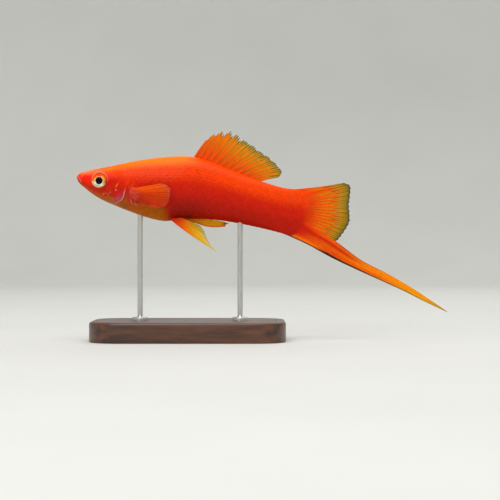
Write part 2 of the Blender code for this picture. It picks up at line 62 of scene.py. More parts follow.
# distance behind the snout, back above the axis, belly below it, half width
BODY_STATIONS = (
    (0.0, 0.90, 0.80, 1.10), (1.0, 1.65, 1.62, 1.70), (2.5, 2.28, 2.57, 2.15), (5.0, 3.32, 3.93, 2.75),
    (8.0, 4.40, 5.30, 3.35), (12.0, 5.87, 6.40, 4.05), (16.0, 7.42, 7.32, 4.65),
    (22.0, 9.32, 8.45, 5.15), (28.0, 10.80, 8.78, 5.20), (33.0, 11.55, 7.40, 4.95),
    (38.0, 11.05, 6.55, 4.50), (44.0, 9.75, 6.00, 3.85), (50.0, 8.35, 6.00, 3.15),
    (56.0, 7.35, 6.27, 2.45), (62.0, 6.62, 6.75, 1.45), (67.0, 6.85, 7.25, 0.52),
    (71.0, 6.40, 6.50, 0.10),
)
SNOUT_ROUNDING = 0.9
TAIL_ROUNDING = 5.5
TAIL_EDGE_ROUNDING = 0.8
WIDEST_SHARE = 0.54
HEAD_BOX = 0.90
HEAD_FLATNESS = 0.86
BELLY_PINCH = 1.12
HEAD_END = 14.0
# where the body's end turns as flat as the fan, over how far, and how much
TAIL_PLATE = (54.0, 12.0, 0.45)
SKIN_SIDES = 232
SKIN_RINGS = 410
HEAD_RING_DENSITY = 2.4
HEAD_RINGS_END = 17.0

# height and distance behind the snout, down the rear edge of the gill cover
GILL_EDGE = (
    (-8.5, 10.4), (-5.9, 12.9), (-5.2, 14.1), (-4.2, 14.9), (-2.4, 15.25), (-0.4, 15.6), (0.8, 16.3),
    (1.6, 16.45), (2.6, 15.8), (4.0, 14.6), (6.0, 14.0), (9.0, 13.8),
)
GILL_MIDDLE = -0.6
GILL_HALF_HEIGHT = 4.2
GILL_FADE = 2.2
GILL_RISE = 0.38
GILL_LENGTH = 5.5
GILL_STEP = 0.50
GILL_GROOVE = 0.03
# height and distance behind the snout of the cheek's own fold
CHEEK_FOLD = ((-5.2, 8.6), (-3.9, 10.6), (-2.2, 11.7), (-0.4, 12.3), (1.4, 12.4), (3.0, 11.9))
CHEEK_FOLD_DEPTH = 0.10
# distance behind the snout and height along the jaw's lower fold
JAW_FOLD = ((1.9, -1.6), (3.4, -2.6), (5.4, -3.7), (8.4, -4.75), (11.5, -5.4))
JAW_FOLD_DEPTH = 0.09
LATERAL_LINE_DEPTH = 0.02

EYE_PLACE = (7.12, 0.24)
EYE_RADIUS = 2.40
EYE_HALF_DEPTH = 1.20
EYE_BULGE = 0.55
EYE_YAW = math.radians(14.0)
EYE_ROLL = math.radians(5.0)
EYE_SEAT = EYE_HALF_DEPTH - EYE_BULGE
EYE_STEPS = 96
# radius and height over the seat round the eyeball's rim, and over its middle behind it
EYE_RIM = ((2.14, -0.02), (2.19, 0.0), (2.25, 0.01), (2.31, -0.01), (2.36, -0.08), (2.34, -0.35))
EYE_BACK = [(2.2, -0.3), (1.6, -0.8), (0.8, -1.05), (0.0, -1.1)]
IRIS_RADIUS = 2.08
IRIS_DOME = 0.05
CORNEA_RADIUS = 2.20
ORBIT_DEPTH = 1.1
ORBIT_EDGE = 2.20
ORBIT_BLEND = 0.7
PUPIL_PLACE = (7.02, 0.02)
PUPIL_RADIUS = 1.10

MOUTH_TOP = (0.02, 0.92)
MOUTH_CORNER = (1.78, -1.25)
MOUTH_DEPTH = 0.18
MOUTH_HALF_WIDTH = 0.09
LIP_RISE = 0.14
LIP_OFFSET = 0.36
LIP_HALF_WIDTH = 0.26
LIP_END = 1.1
LIP_CENTRE = np.array((2.6, 0.0, -0.2))
# distance behind the snout, height and radius of the nostrils
NOSTRILS = ((1.75, 0.80, 0.22), (3.95, 1.95, 0.27))
NOSTRIL_DEPTH = 0.24
NOSTRIL_RIM = 0.07

SCALE_PITCH = 1.95
SCALE_DEPTH_OF_BODY = 18.0
SCALE_NARROWING = 0.6
SCALE_ROWS = 11.0
SCALE_BULGE = 0.55
SCALE_EDGE = 0.30
SCALE_RISE = 0.07
SCALE_FADE = 1.6

DORSAL_RAYS = 13
DORSAL_BASE = (33.2, 52.8)
DORSAL_MARGIN = (
    (36.6, 17.5), (38.9, 19.9), (43.4, 21.3), (48.5, 19.1), (52.6, 16.7), (57.2, 14.4), (60.6, 11.4),
    (60.2, 9.8), (57.0, 8.5),
)
DORSAL_SINK = 1.2
DORSAL_BOW = 0.15

FAN_RAYS = 16
FAN_BACK = (60.8, 5.75)
FAN_ROOT_RADIUS = 5.0
FAN_MARGIN = (
    (79.6, 11.0), (81.5, 10.3), (82.0, 4.6), (82.9, 0.2), (82.6, -1.6), (81.6, -3.9), (80.5, -6.0),
    (79.4, -7.2),
)
FAN_FOCUS = (61.9, 0.7)
FAN_SWEEP = (math.radians(30.0), math.radians(54.0))
FAN_FLESH = (5.0, 6.5)
FAN_UPPER_BOW = -0.3
FAN_LOWER_BOW = -0.75

SWORD_RAYS = 9
SWORD_UPPER = (
    (69.2, -1.35), (73.6, -4.25), (79.9, -6.85), (88.3, -11.2), (96.5, -13.9), (104.7, -17.1),
    (110.9, -19.9), (115.9, -22.3),
)
SWORD_LOWER = (
    (60.6, -6.2), (66.1, -7.55), (71.8, -9.15), (79.0, -11.75), (87.3, -14.2), (95.3, -16.4),
    (102.5, -18.4), (108.7, -20.4), (115.9, -22.5),
)

PECTORAL_RAYS = 12
PECTORAL_BASE = ((17.5, -0.8), (18.7, -4.0))
PECTORAL_MARGIN = (
    (22.6, 0.95), (26.2, 1.95), (28.6, 0.9), (29.0, -1.6), (28.2, -4.2), (25.2, -5.6), (21.6, -5.3),
)
PECTORAL_SPREAD = math.radians(14.0)
PECTORAL_STANDOFF = 0.50
PECTORAL_LOBE = (1.35, 0.85, 2.05)
PECTORAL_LOBE_BEHIND = 0.2
PECTORAL_LOBE_DEPTH = 0.36
PECTORAL_LOBE_LEAN = math.radians(20.0)

PELVIC_RAYS = 6
PELVIC_ROOT = ((29.4, -7.7), (30.5, -7.2), (31.8, -6.8))
PELVIC_MARGIN = (
    (44.95, -15.5), (42.4, -13.45), (41.1, -11.5), (40.0, -9.65), (38.8, -8.5),
)
PELVIC_BOW = -0.45
PELVIC_BOW_SKEW = 0.65
PELVIC_OFFSET = 1.35
PELVIC_SPLAY = math.radians(16.0)

GONOPODIUM_RAYS = 4
GONOPODIUM_UPPER = ((33.0, -6.0), (36.0, -6.2), (38.8, -6.4), (42.5, -6.15), (45.4, -6.2), (47.3, -6.5))
GONOPODIUM_LOWER = ((31.9, -6.9), (35.0, -7.7), (37.8, -8.1), (40.4, -8.45), (43.2, -8.3), (46.4, -7.6))
GONOPODIUM_NOTCH = 0.5
GONOPODIUM_NOTCH_START = 0.86

FIN_WEB = 0.10
FIN_RAY = 0.24
FIN_TIP = 0.05
RAY_TIPS = 4
RAY_JOINT = 0.85
RAY_JOINT_DEPTH = 0.16

ROD_RADIUS = 0.8
ROD_FOOT_RADIUS = 2.4
ROD_FOOT_HEIGHT = 1.0
ROD_FILLET = 0.55
ROD_STATIONS = {"front": 20.5, "rear": 50.5}
ROD_FOOT_EDGE = 0.3
BASE_CORNER = 9.0
BASE_TOP_ROUND = 0.8
BASE_FOOT_ROUND = 0.3
GROOVE_INSET = 1.8
GROOVE_HALF_WIDTH = 0.14
GROOVE_DEPTH = 0.16

PHOTO_CENTRE = (18.4, 27.1)
PHOTO_FIELD = 150.0
CAMERA_DISTANCE = 450.0
# the studio, in metres and watts: each softbox's name, place, width, height and power
SOFTBOXES = (
    ("softbox_above", (0.0, -0.25, 0.95), 0.80, 0.60, 5.2),
    ("softbox_front", (-0.20, -0.60, 0.48), 0.45, 0.45, 1.9),
    ("softbox_behind", (0.25, 0.55, 0.60), 0.60, 0.40, 1.4),
)
AIR_STRENGTH = 0.32
MIDDLE_STATION = 36.0
COVE_FLOOR, COVE_SWEEP, COVE_TOP = 0.70, 0.35, 1.10


def linear(red, green, blue):
    """A colour as it looks on a screen, 0 to 255, turned into the light that a shader reads."""
    share = np.array((red, green, blue), float) / 255.0
    return np.where(share <= 0.04045, share / 12.92, ((share + 0.055) / 1.055) ** 2.4)


def smoothstep(value):
    value = np.clip(value, 0.0, 1.0)
    return value * value * (3.0 - 2.0 * value)


def rise(value, start, length):
    """0 up to start, then a soft climb to 1 over length."""
    return smoothstep((value - start) / length)


def fall(value, start, length):
    """1 up to start, then a soft drop to 0 over length."""
    return 1.0 - rise(value, start, length)


def until(value, end, length):
    """1 up to length before the end, then a soft drop to 0 at the end."""
    return smoothstep((end - value) / length)


def signed_power(value, power):
    return np.sign(value) * np.abs(value) ** power


def quarter_round(share):
    """The height of a quarter circle, from 0 at its start to 1 at its end."""
    share = np.clip(share, 0.0, 1.0)
    return np.sqrt(share * (2.0 - share))


def bump(distance, half_width):
    """A soft ridge: 1 where distance is 0, and next to nothing past twice the half width."""
    return np.exp(-((distance / half_width) ** 2))


def smooth_value(x, xs, ys):
    """A smooth curve through the points (xs, ys), read at each x."""
    xs, ys = np.array(xs, float), np.array(ys, float)
    last = len(xs) - 1
    knots = np.arange(last + 1)
    low, high = np.maximum(knots - 1, 0), np.minimum(knots + 1, last)
    slopes = (ys[high] - ys[low]) / (xs[high] - xs[low])
    i = np.clip(np.searchsorted(xs, x, side="right") - 1, 0, last - 1)
    span = xs[i + 1] - xs[i]
    t = np.clip((x - xs[i]) / span, 0.0, 1.0)
    start, end = slopes[i] * span, slopes[i + 1] * span
    a = 2 * t**3 - 3 * t**2 + 1
    b = t**3 - 2 * t**2 + t
    return a * ys[i] + b * start + (1.0 - a) * ys[i + 1] + (t**3 - t**2) * end


def curve_through(points):
    """A function of 0 to 1 that runs smoothly through the points, by distance along them."""
    points = np.array(points, float)
    steps = np.hypot(*np.diff(points, axis=0).T)
    knots = np.concatenate(([0.0], np.cumsum(steps))) / steps.sum()
    return lambda t: (smooth_value(t, knots, points[:, 0]), smooth_value(t, knots, points[:, 1]))


def fish_to_row():
    """The matrix from millimetres along the fish to metres in the row's frame."""
    x, z = SWORD_LOWER[-1]
    lift = BASE_TOP + SWORD_CLEARANCE + x * math.sin(PITCH) - z * math.cos(PITCH)
    place = Matrix.Translation(Vector((-SNOUT_BEFORE_BASE, 0.0, lift)) * MM)
    return place @ Matrix.Rotation(PITCH, 4, "Y") @ Matrix.Scale(MM, 4)


FISH_TO_ROW = fish_to_row()
ROW_SCALE = Matrix.Scale(MM, 4)


# the body


def body_size(station):
    """Back height, belly height and half width of the body at distances behind the snout."""
    distances, backs, bellies, widths = zip(*BODY_STATIONS)
    station = np.clip(station, 0.0, BODY_LENGTH)
    snout = quarter_round(station / SNOUT_ROUNDING)
    tail = quarter_round((BODY_LENGTH - station) / TAIL_ROUNDING)
    tail_edge = quarter_round((BODY_LENGTH - station) / TAIL_EDGE_ROUNDING)
    back = smooth_value(station, distances, backs) * snout * tail
    belly = -smooth_value(station, distances, bellies) * snout * tail
    width = smooth_value(station, distances, widths) * snout * tail_edge
    return back, belly, width


def section_powers(station, up):
    """How far a section of the body departs from an ellipse, across it and up it."""
    trunk = rise(station, HEAD_END, HEAD_END)
    across = HEAD_BOX + (1.0 - HEAD_BOX) * trunk
    across = across + np.where(up < 0, (BELLY_PINCH - 1.0) * trunk, 0.0)
    *where, plate = TAIL_PLATE
    across = across * (1.0 - plate * rise(station, *where))
    return across, HEAD_FLATNESS + (1.0 - HEAD_FLATNESS) * trunk


def widest_height(back, belly):
    return belly + WIDEST_SHARE * (back - belly)


def flank(station, height):
    """Half the body's width at a distance behind the snout and a height."""
    back, belly, width = body_size(station)
    widest = widest_height(back, belly)
    reach = np.where(height > widest, back - widest, widest - belly)
    across_power, up_power = section_powers(station, height - widest)
    up = np.clip(np.abs(height - widest) / reach, 0.0, 1.0) ** (1.0 / up_power)
    return width * np.sqrt(1.0 - up * up) ** across_power


def gill_edge(height):
    """How far behind the snout the gill cover's rear edge lies at a height."""
    heights, stations = zip(*GILL_EDGE)
    return smooth_value(height, heights, stations)


def gill_cover(station, height):
    """How far the gill cover stands out of the head's side, and the groove behind its edge."""
    before = gill_edge(height) - station
    along = until(before, GILL_LENGTH, GILL_LENGTH) * smoothstep(before / GILL_STEP + 1.0)
    across = until(np.abs(height - GILL_MIDDLE), GILL_HALF_HEIGHT + GILL_FADE, GILL_FADE)
    groove = GILL_GROOVE * bump(before + 2 * GILL_STEP, GILL_STEP)
    return (GILL_RISE * along - groove) * across


def mouth_line(station, height):
    """How far along the line of the mouth a point lies, and how far off it."""
    (x0, z0), (x1, z1) = MOUTH_TOP, MOUTH_CORNER
    length = math.hypot(x1 - x0, z1 - z0)
    along = ((station - x0) * (x1 - x0) + (height - z0) * (z1 - z0)) / length
    off = ((station - x0) * (z0 - z1) + (height - z0) * (x1 - x0)) / length
    return along, off, length


def lips(station, height):
    """How far the lips stand out, on both sides of the line of the mouth."""
    along, off, length = mouth_line(station, height)
    fold = bump(np.abs(off) - LIP_OFFSET, LIP_HALF_WIDTH)
    return LIP_RISE * fold * until(along, length + LIP_END, LIP_END)


def body_surface(station, angle):
    """Points of the body's surface, where angle runs round the section from its right side."""
    back, belly, width = body_size(station)
    widest = widest_height(back, belly)
    across, up = np.cos(angle), np.sin(angle)
    across_power, up_power = section_powers(station, up)
    reach = np.where(up > 0, back - widest, widest - belly)
    z = widest + reach * signed_power(up, up_power)
    y = width * np.abs(across) ** across_power + gill_cover(station, z) * np.sqrt(np.abs(across))
    places = np.stack((station, np.copysign(y, across), z), axis=1)
    away = places - LIP_CENTRE
    away /= np.linalg.norm(away, axis=1)[:, None]
    return places + away * lips(station, z)[:, None]


def ring_stations():
    """Where the skin's rings lie: even steps round the profile, closer together on the head."""
    fine = (1.0 - np.cos(np.linspace(0.0, math.pi, 8001))) / 2.0 * BODY_LENGTH
    back, belly, width = body_size(fine)
    steps = np.sqrt(np.diff(fine) ** 2 + np.diff((back - belly) / 2.0) ** 2 + np.diff(width) ** 2)
    head = 1.0 - smoothstep((fine[1:] - HEAD_RINGS_END) / HEAD_RINGS_END * 2.0)
    run = np.concatenate(([0.0], np.cumsum(steps * (1.0 + (HEAD_RING_DENSITY - 1.0) * head))))
    return np.interp(np.linspace(0.0, run[-1], SKIN_RINGS + 1), run, fine)


def scale_rows(station, angle):
    """A point's place among the scales: counted along the body, and up it from its middle."""
    fine = np.linspace(0.0, BODY_LENGTH, 1000)
    back, belly, _ = body_size(np.clip(fine, 1.0, BODY_LENGTH - TAIL_ROUNDING))
    pitch = SCALE_PITCH * ((back - belly) / SCALE_DEPTH_OF_BODY) ** SCALE_NARROWING
    count = np.concatenate(([0.0], np.cumsum(np.diff(fine) / pitch[1:])))
    turns = np.linspace(0.0, math.pi / 2, 200)
    steps = np.hypot(np.diff(np.cos(turns)) / 2, np.diff(np.sin(turns)))
    arc = np.concatenate(([0.0], np.cumsum(steps)))
    up = np.arcsin(np.clip(np.sin(angle), -1.0, 1.0))
    share = np.sign(up) * np.interp(np.abs(up), turns, arc / arc[-1])
    return np.interp(station, fine, count), share * SCALE_ROWS


def scale_swell(along, up):
    """How high each point of a scale stands, from 0 at the edges, where scales lap like tiles."""
    front = np.full(along.shape, np.inf)
    lap = np.zeros(along.shape)
    behind = np.ones(along.shape)
    for step in (0, 1):
        row = np.floor(up) + step
        stagger = np.mod(row, 2) * 0.5
        edge = SCALE_BULGE * np.sqrt(np.clip(1.0 - (up - row) ** 2, 0.0, 1.0))
        centre = np.ceil(along - stagger - edge) + stagger
        ahead = centre + edge - along
        lap = np.where(centre < front, ahead, lap)
        behind = np.minimum(1.0 - ahead, behind)
        front = np.minimum(centre, front)
    return (1.0 - lap) * smoothstep(lap / SCALE_EDGE) * smoothstep(behind / SCALE_EDGE)


def scaled_part(station, height):
    """1 where the skin has scales: behind the gill cover, and on the nape."""
    nape = 4.5 * rise(height, 4.0, 1.6)
    start = smoothstep((station - gill_edge(height) + nape - 0.5) / SCALE_FADE)
    return start * until(station, BODY_LENGTH - 1.5, SCALE_FADE)


def fold_depth(place, curve, half_width, ends):
    """A fold along a curve given as (where, how far): a groove with a low swelling before it."""
    where, distance = place
    knots, values = zip(*curve)
    off = distance - smooth_value(where, knots, values)
    fade = rise(where, knots[0], ends) * until(where, knots[-1], ends)
    return (bump(off, half_width) - 0.6 * bump(off + 2.2 * half_width, half_width)) * fade


def fan_rays(station, height):
    """The tail fan's rays under the skin: 1 along a ray, and how much they show."""
    x, z = station - FAN_FOCUS[0], height - FAN_FOCUS[1]
    first, sweep = FAN_SWEEP
    turns = (first - np.arctan2(z, x)) / sweep * (FAN_RAYS - 1)
    return 0.5 + 0.5 * np.cos(2 * math.pi * turns), rise(x, *FAN_FLESH)


def eye_axis(side):
    """The middle of an eye's ball and the way it faces."""
    station, height = EYE_PLACE
    out = float(flank(station, height)) - EYE_SEAT
    yaw = Matrix.Rotation(side * EYE_YAW, 4, "Z")
    roll = Matrix.Rotation(-side * (math.pi / 2 - EYE_ROLL), 4, "X")
    return Matrix.Translation((station, side * out, height)) @ yaw @ roll


def seat_eyes(places):
    """Levels the skin round each eye and sinks it behind the eyeball."""
    for side in SIDES:
        axis = eye_axis(side)
        middle, facing = np.array(axis.translation), np.array(axis.to_3x3().col[2])
        off = places - middle
        mine = np.sign(places[:, 1]) == side
        radius = np.hypot(off[:, 0], off[:, 2])
        level = (EYE_SEAT - off[:, 0] * facing[0] - off[:, 2] * facing[2]) / facing[1]
        near = 1.0 - smoothstep((radius - EYE_RADIUS - 0.15) / ORBIT_BLEND)
        sunk = fall(radius, ORBIT_EDGE, 0.14)
        seat = middle[1] + level - side * ORBIT_DEPTH * sunk
        places[:, 1] = np.where(mine, places[:, 1] + (seat - places[:, 1]) * near, places[:, 1])


def skin_relief(station, height, swell):
    """How far the skin's small forms stand out of the body's surface."""
    along, off, length = mouth_line(station, height)
    mouth = MOUTH_DEPTH * bump(off, MOUTH_HALF_WIDTH) * until(along, length + 0.3, 0.5)
    relief = -mouth * rise(along, -0.6, 0.3)
    for x, z, radius in NOSTRILS:
        distance = np.hypot(station - x, height - z)
        relief -= NOSTRIL_DEPTH * bump(distance, radius)
        relief += NOSTRIL_RIM * bump(distance - 1.6 * radius, 0.5 * radius)
    relief -= CHEEK_FOLD_DEPTH * fold_depth((height, station), CHEEK_FOLD, 0.16, 1.5)
    relief -= JAW_FOLD_DEPTH * fold_depth((station, height), JAW_FOLD, 0.15, 1.5)
    back, belly, _ = body_size(station)
    middle = widest_height(back, belly)
    scaled = scaled_part(station, height)
    relief -= LATERAL_LINE_DEPTH * bump(height - middle, 0.25) * scaled
    ray, shown = fan_rays(station, height)
    return relief + SCALE_RISE * swell * scaled * (1.0 - shown) + 0.05 * ray * shown


# colours, as they look on a screen

CREST = linear(255, 128, 3)
UPPER_FLANK = linear(254, 74, 2)
MIDDLE_FLANK = linear(250, 62, 2)
LOWER_FLANK = linear(210, 30, 3)
BELLY_RED = linear(187, 23, 2)
UNDERSIDE = linear(180, 23, 2)
DARK_BELLY = linear(150, 20, 4)
THROAT = linear(174, 86, 3)
THROAT_LOW = linear(188, 100, 5)
CHEEK = linear(206, 22, 4)
TEMPLE = linear(250, 46, 3)
UNDER_EYE = linear(188, 44, 2)
SNOUT = linear(250, 32, 2)
HEAD_TOP = linear(254, 92, 8)
# painted pinkish highlight along the top of the snout
SNOUT_HIGHLIGHT = linear(255, 126, 70)
CHIN = linear(226, 66, 2)
LILAC = linear(192, 62, 96)
# painted lilac-white highlight along the gill cover's lower rear edge
GILL_EDGE_HIGHLIGHT = linear(232, 180, 205)
BLOTCH = linear(186, 40, 28)
PALE = linear(246, 176, 140)
GILL_OCHRE = linear(172, 84, 14)
GOLD = linear(255, 150, 24)
# painted shade for creases: the mouth's cleft and the band just behind the gill cover's edge
CREASE_SHADE = linear(120, 22, 10)
# painted pale highlight along the line of the mouth
MOUTH_HIGHLIGHT = linear(246, 140, 112)
RAY_ORANGE = linear(236, 54, 2)
RAY_GAP = linear(190, 28, 2)
# painted shade on the throat, under the gill covers
THROAT_SHADE = linear(140, 70, 8)
# painted shadow in the fold between the belly and the pelvic fins
FOLD_SHADOW = linear(64, 10, 4)
DARK_PIGMENT = linear(46, 50, 40)

# share of the way up the body, and the skin's colour there
FLANK_SHADES = (
    (0.00, UNDERSIDE), (0.24, BELLY_RED), (0.54, LOWER_FLANK), (0.73, MIDDLE_FLANK),
    (1.00, UPPER_FLANK),
)
HEAD_SHADES = (
    (0.00, CHIN), (0.20, UNDER_EYE), (0.38, CHEEK), (0.60, CHEEK), (0.74, TEMPLE), (0.90, HEAD_TOP),
    (1.00, HEAD_TOP),
)
# on the snout, with a painted pinkish highlight along its top
SNOUT_SHADES = (
    (0.00, CHIN), (0.22, UNDER_EYE), (0.45, SNOUT), (0.70, SNOUT), (0.90, SNOUT_HIGHLIGHT),
    (1.00, SNOUT_HIGHLIGHT),
)
# distance behind the snout and height along the top of the throat's ochre
THROAT_TOP = (
    (3.0, -2.5), (5.0, -3.2), (8.3, -4.0), (12.0, -4.1), (15.5, -4.3), (20.0, -4.6), (28.0, -4.7),
)
THROAT_END = 28.6


def shade_at(share, table):
    """Colours read off a table of (share, colour)."""
    knots = [knot for knot, _ in table]
    channels = zip(*(colour for _, colour in table))
    return np.stack([np.interp(share, knots, channel) for channel in channels], axis=1)


def shades(*stops):
    """A table of colours, from stops of (share, red, green, blue)."""
    return [(share, linear(*colour)) for share, *colour in stops]


def over(under, colour, strength):
    """A colour laid over others, as strongly as said at each point."""
    return under + (colour - under) * np.clip(strength, 0.0, 1.0)[:, None]


def layered(colours, *layers):
    """Colours with others laid over them in turn, given as (colour, strength)."""
    for colour, strength in layers:
        colours = over(colours, colour, strength)
    return colours


def blot(station, height, place, reach, lean=0.0):
    """A soft oval mark: 1 at its middle."""
    along, up = station - place[0], height - place[1]
    c, s = math.cos(math.radians(lean)), math.sin(math.radians(lean))
    return np.exp(-(((along * c + up * s) / reach[0]) ** 2 + ((up * c - along * s) / reach[1]) ** 2))


def hiding(colours, share=1.0):
    """Paint that hides what lies behind it by the same share at every point."""
    return np.column_stack((colours, np.full(len(colours), share)))


def ripple(*angles):
    """A gentle, uneven wave of -1 to 1 made of sines of the given angles."""
    return sum(np.sin(angle) for angle in angles) / len(angles)


# a mark's colour, place, half length and half height, lean in degrees, and strength
SKIN_MARKS = (
    (LILAC, (13.5, -4.3), (1.5, 0.80), 50.0, 0.80),
    # painted lilac sheen on the lower cheek
    (LILAC, (10.9, -2.9), (0.6, 0.5), 50.0, 0.30),
    (PALE, (8.95, -3.70), (0.30, 0.12), 60.0, 0.60),
    (PALE, (9.55, -3.30), (0.22, 0.10), 80.0, 0.40),
    (PALE, (10.3, -3.55), (0.26, 0.10), 20.0, 0.45),
    (PALE, (10.95, -2.85), (0.22, 0.09), 60.0, 0.40),
    (GOLD, (12.55, -0.6), (0.60, 0.13), 65.0, 0.95),
    (PALE, (12.53, -2.0), (0.17, 0.17), 0.0, 0.9),
    (UNDER_EYE, (10.2, -1.8), (1.8, 1.0), 0.0, 0.45),
    (BLOTCH, (17.7, -4.1), (1.9, 2.3), -20.0, 0.8),
    (PALE, (16.9, -1.9), (0.22, 0.8), 8.0, 0.26),
    (PALE, (17.5, -4.6), (0.16, 1.0), 25.0, 0.26),
    (PALE, (18.9, -5.2), (0.16, 0.8), 35.0, 0.28),
    (GILL_OCHRE, (15.6, -4.4), (0.55, 1.7), 10.0, 0.85),
    (BLOTCH, (20.2, -6.2), (0.8, 0.6), 0.0, 0.5),
    (PALE, (1.66, 0.70), (0.34, 0.10), 60.0, 0.85),
    (GOLD, (9.6, 4.2), (2.4, 0.7), 18.0, 0.35),
    (MIDDLE_FLANK, (16.4, 0.4), (1.2, 1.4), 0.0, 0.6),
    # painted shade on the throat, under the gill covers
    (THROAT_SHADE, (15.6, -6.2), (1.6, 0.9), -25.0, 0.75),
    # painted shadow in the fold between the belly and the pelvic fins
    (FOLD_SHADOW, (33.0, -6.75), (2.8, 0.38), 8.0, 0.8),
)


def flank_share(station, height):
    """How much of the way up the body a point lies: 0 under its belly, 1 on its back."""
    back, belly, _ = body_size(np.clip(station, SNOUT_ROUNDING, BODY_LENGTH - TAIL_ROUNDING))
    return (height - belly) / (back - belly)


def skin_paint(station, height, swell, row):
    """The skin's colours, with painted highlights, sheen, shade and shadow, from the same places on
    both sides.
    """
    share = flank_share(station, height)
    head = fall(station, 9.0, 7.0)
    snout = fall(station, 3.5, 5.5)
    paint = shade_at(share, FLANK_SHADES)
    crest = rise(share, 0.78, 0.20) * fall(station, 29.0, 9.0)
    paint = over(paint, CREST, crest)
    paint += (shade_at(share, HEAD_SHADES) - paint) * head[:, None]
    paint += (shade_at(share, SNOUT_SHADES) - paint) * snout[:, None]
    low = fall(share, 0.08, 0.34)
    trunk_dark = rise(station, THROAT_END, 3.0) * fall(station, 35.0, 9.0)
    paint = over(paint, DARK_BELLY, low * trunk_dark)
    wave = 0.25 * ripple(station * 1.9, station * 4.3 + 1.0, station * 9.1)
    edges, tops = zip(*THROAT_TOP)
    below = smooth_value(station, edges, tops) + wave - height
    throat = smoothstep(below / 0.9 + 0.3) * rise(station, 2.6, 2.0)
    throat *= 1.0 - smoothstep((station - THROAT_END + 0.4 * height + 4.6 + 2.0 * wave) / 3.2)
    paint = over(paint, THROAT + (THROAT_LOW - THROAT) * smoothstep(below / 4.0)[:, None], throat)
    for colour, place, reach, lean, strength in SKIN_MARKS:
        paint = over(paint, colour, strength * blot(station, height, place, reach, lean))
    before = gill_edge(height) - station
    lower_gill = rise(-height, 0.8, 1.6) * rise(height, -6.4, 1.0)
    uneven = 0.75 + 0.25 * ripple(height * 4.0, height * 9.0 + 1.0)
    middle_gill = rise(height, -2.5, 1.5) * until(height, 3.4, 1.5)
    along, off, length = mouth_line(station, height)
    at_mouth = until(along, length + 0.2, 0.4) * (station < 3.0)
    eye = np.hypot(station - EYE_PLACE[0], height - EYE_PLACE[1])
    ray, shown = fan_rays(station, height)
    paint = layered(
        paint,
        # painted highlight along the gill cover's lower rear edge
        (GILL_EDGE_HIGHLIGHT, 0.75 * uneven * bump(before - 0.12, 0.14) * lower_gill),
        # painted shade just behind the gill cover's edge
        (CREASE_SHADE, 0.12 * bump(before + 0.40, 0.40) * middle_gill),
        # painted highlight along the line of the mouth
        (MOUTH_HIGHLIGHT, 0.8 * bump(off, 0.16) * at_mouth),
        # painted shade in the mouth's cleft
        (CREASE_SHADE, 0.35 * bump(off - 0.05, 0.07) * at_mouth),
        (PALE, 0.5 * bump(eye - 2.5, 0.10) * rise(height, -0.5, 2.0)),
        (RAY_GAP, 0.6 * shown * (1.0 - ray)),
        (RAY_ORANGE, 0.6 * shown * ray),
    )
    scaled = scaled_part(station, height)
    upper = rise(share, 0.50, 0.15) * until(share, 0.95, 0.10)
    lines = (0.5 + 0.5 * np.cos(2 * math.pi * row)) * upper
    return paint * (1.0 + (0.12 * (swell - 0.35) - 0.16 * lines) * scaled)[:, None]


# making pieces


def coordinates(bm):
    return np.array([vert.co for vert in bm.verts])


def move_points(bm, places):
    for vert, place in zip(bm.verts, places):
        vert.co = place


def place_object(name, data):
    """A new object in the scene, at the origin, that shows a mesh, a lamp or a camera."""
    made = bpy.data.objects.new(name, data)
    bpy.context.scene.collection.objects.link(made)
    return made


def face_outwards(bm):
    bmesh.ops.recalc_face_normals(bm, faces=bm.faces)
    if bm.calc_volume(signed=True) < 0:
        bmesh.ops.reverse_faces(bm, faces=bm.faces)


def hand_over(bm, name, look, nodes, paint=None, to_row=FISH_TO_ROW, crease=math.radians(50)):
    """Makes a finished piece of a bmesh held in millimetres, in the place of the named nodes."""
    bmesh.ops.transform(bm, matrix=to_row, verts=bm.verts)
    face_outwards(bm)
    mesh = bpy.data.meshes.new(name)
    bm.to_mesh(mesh)
    bm.free()
    mesh.shade_smooth()
    mesh.set_sharp_from_angle(angle=crease)
    if paint is not None:
        layer = mesh.attributes.new("paint", "FLOAT_COLOR", "POINT")
        layer.data.foreach_set("color", paint.astype(np.float32).ravel())
    mesh.materials.append(look)
    piece = place_object(name, mesh)
    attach(piece, "root")
    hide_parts(*nodes)


# finishes


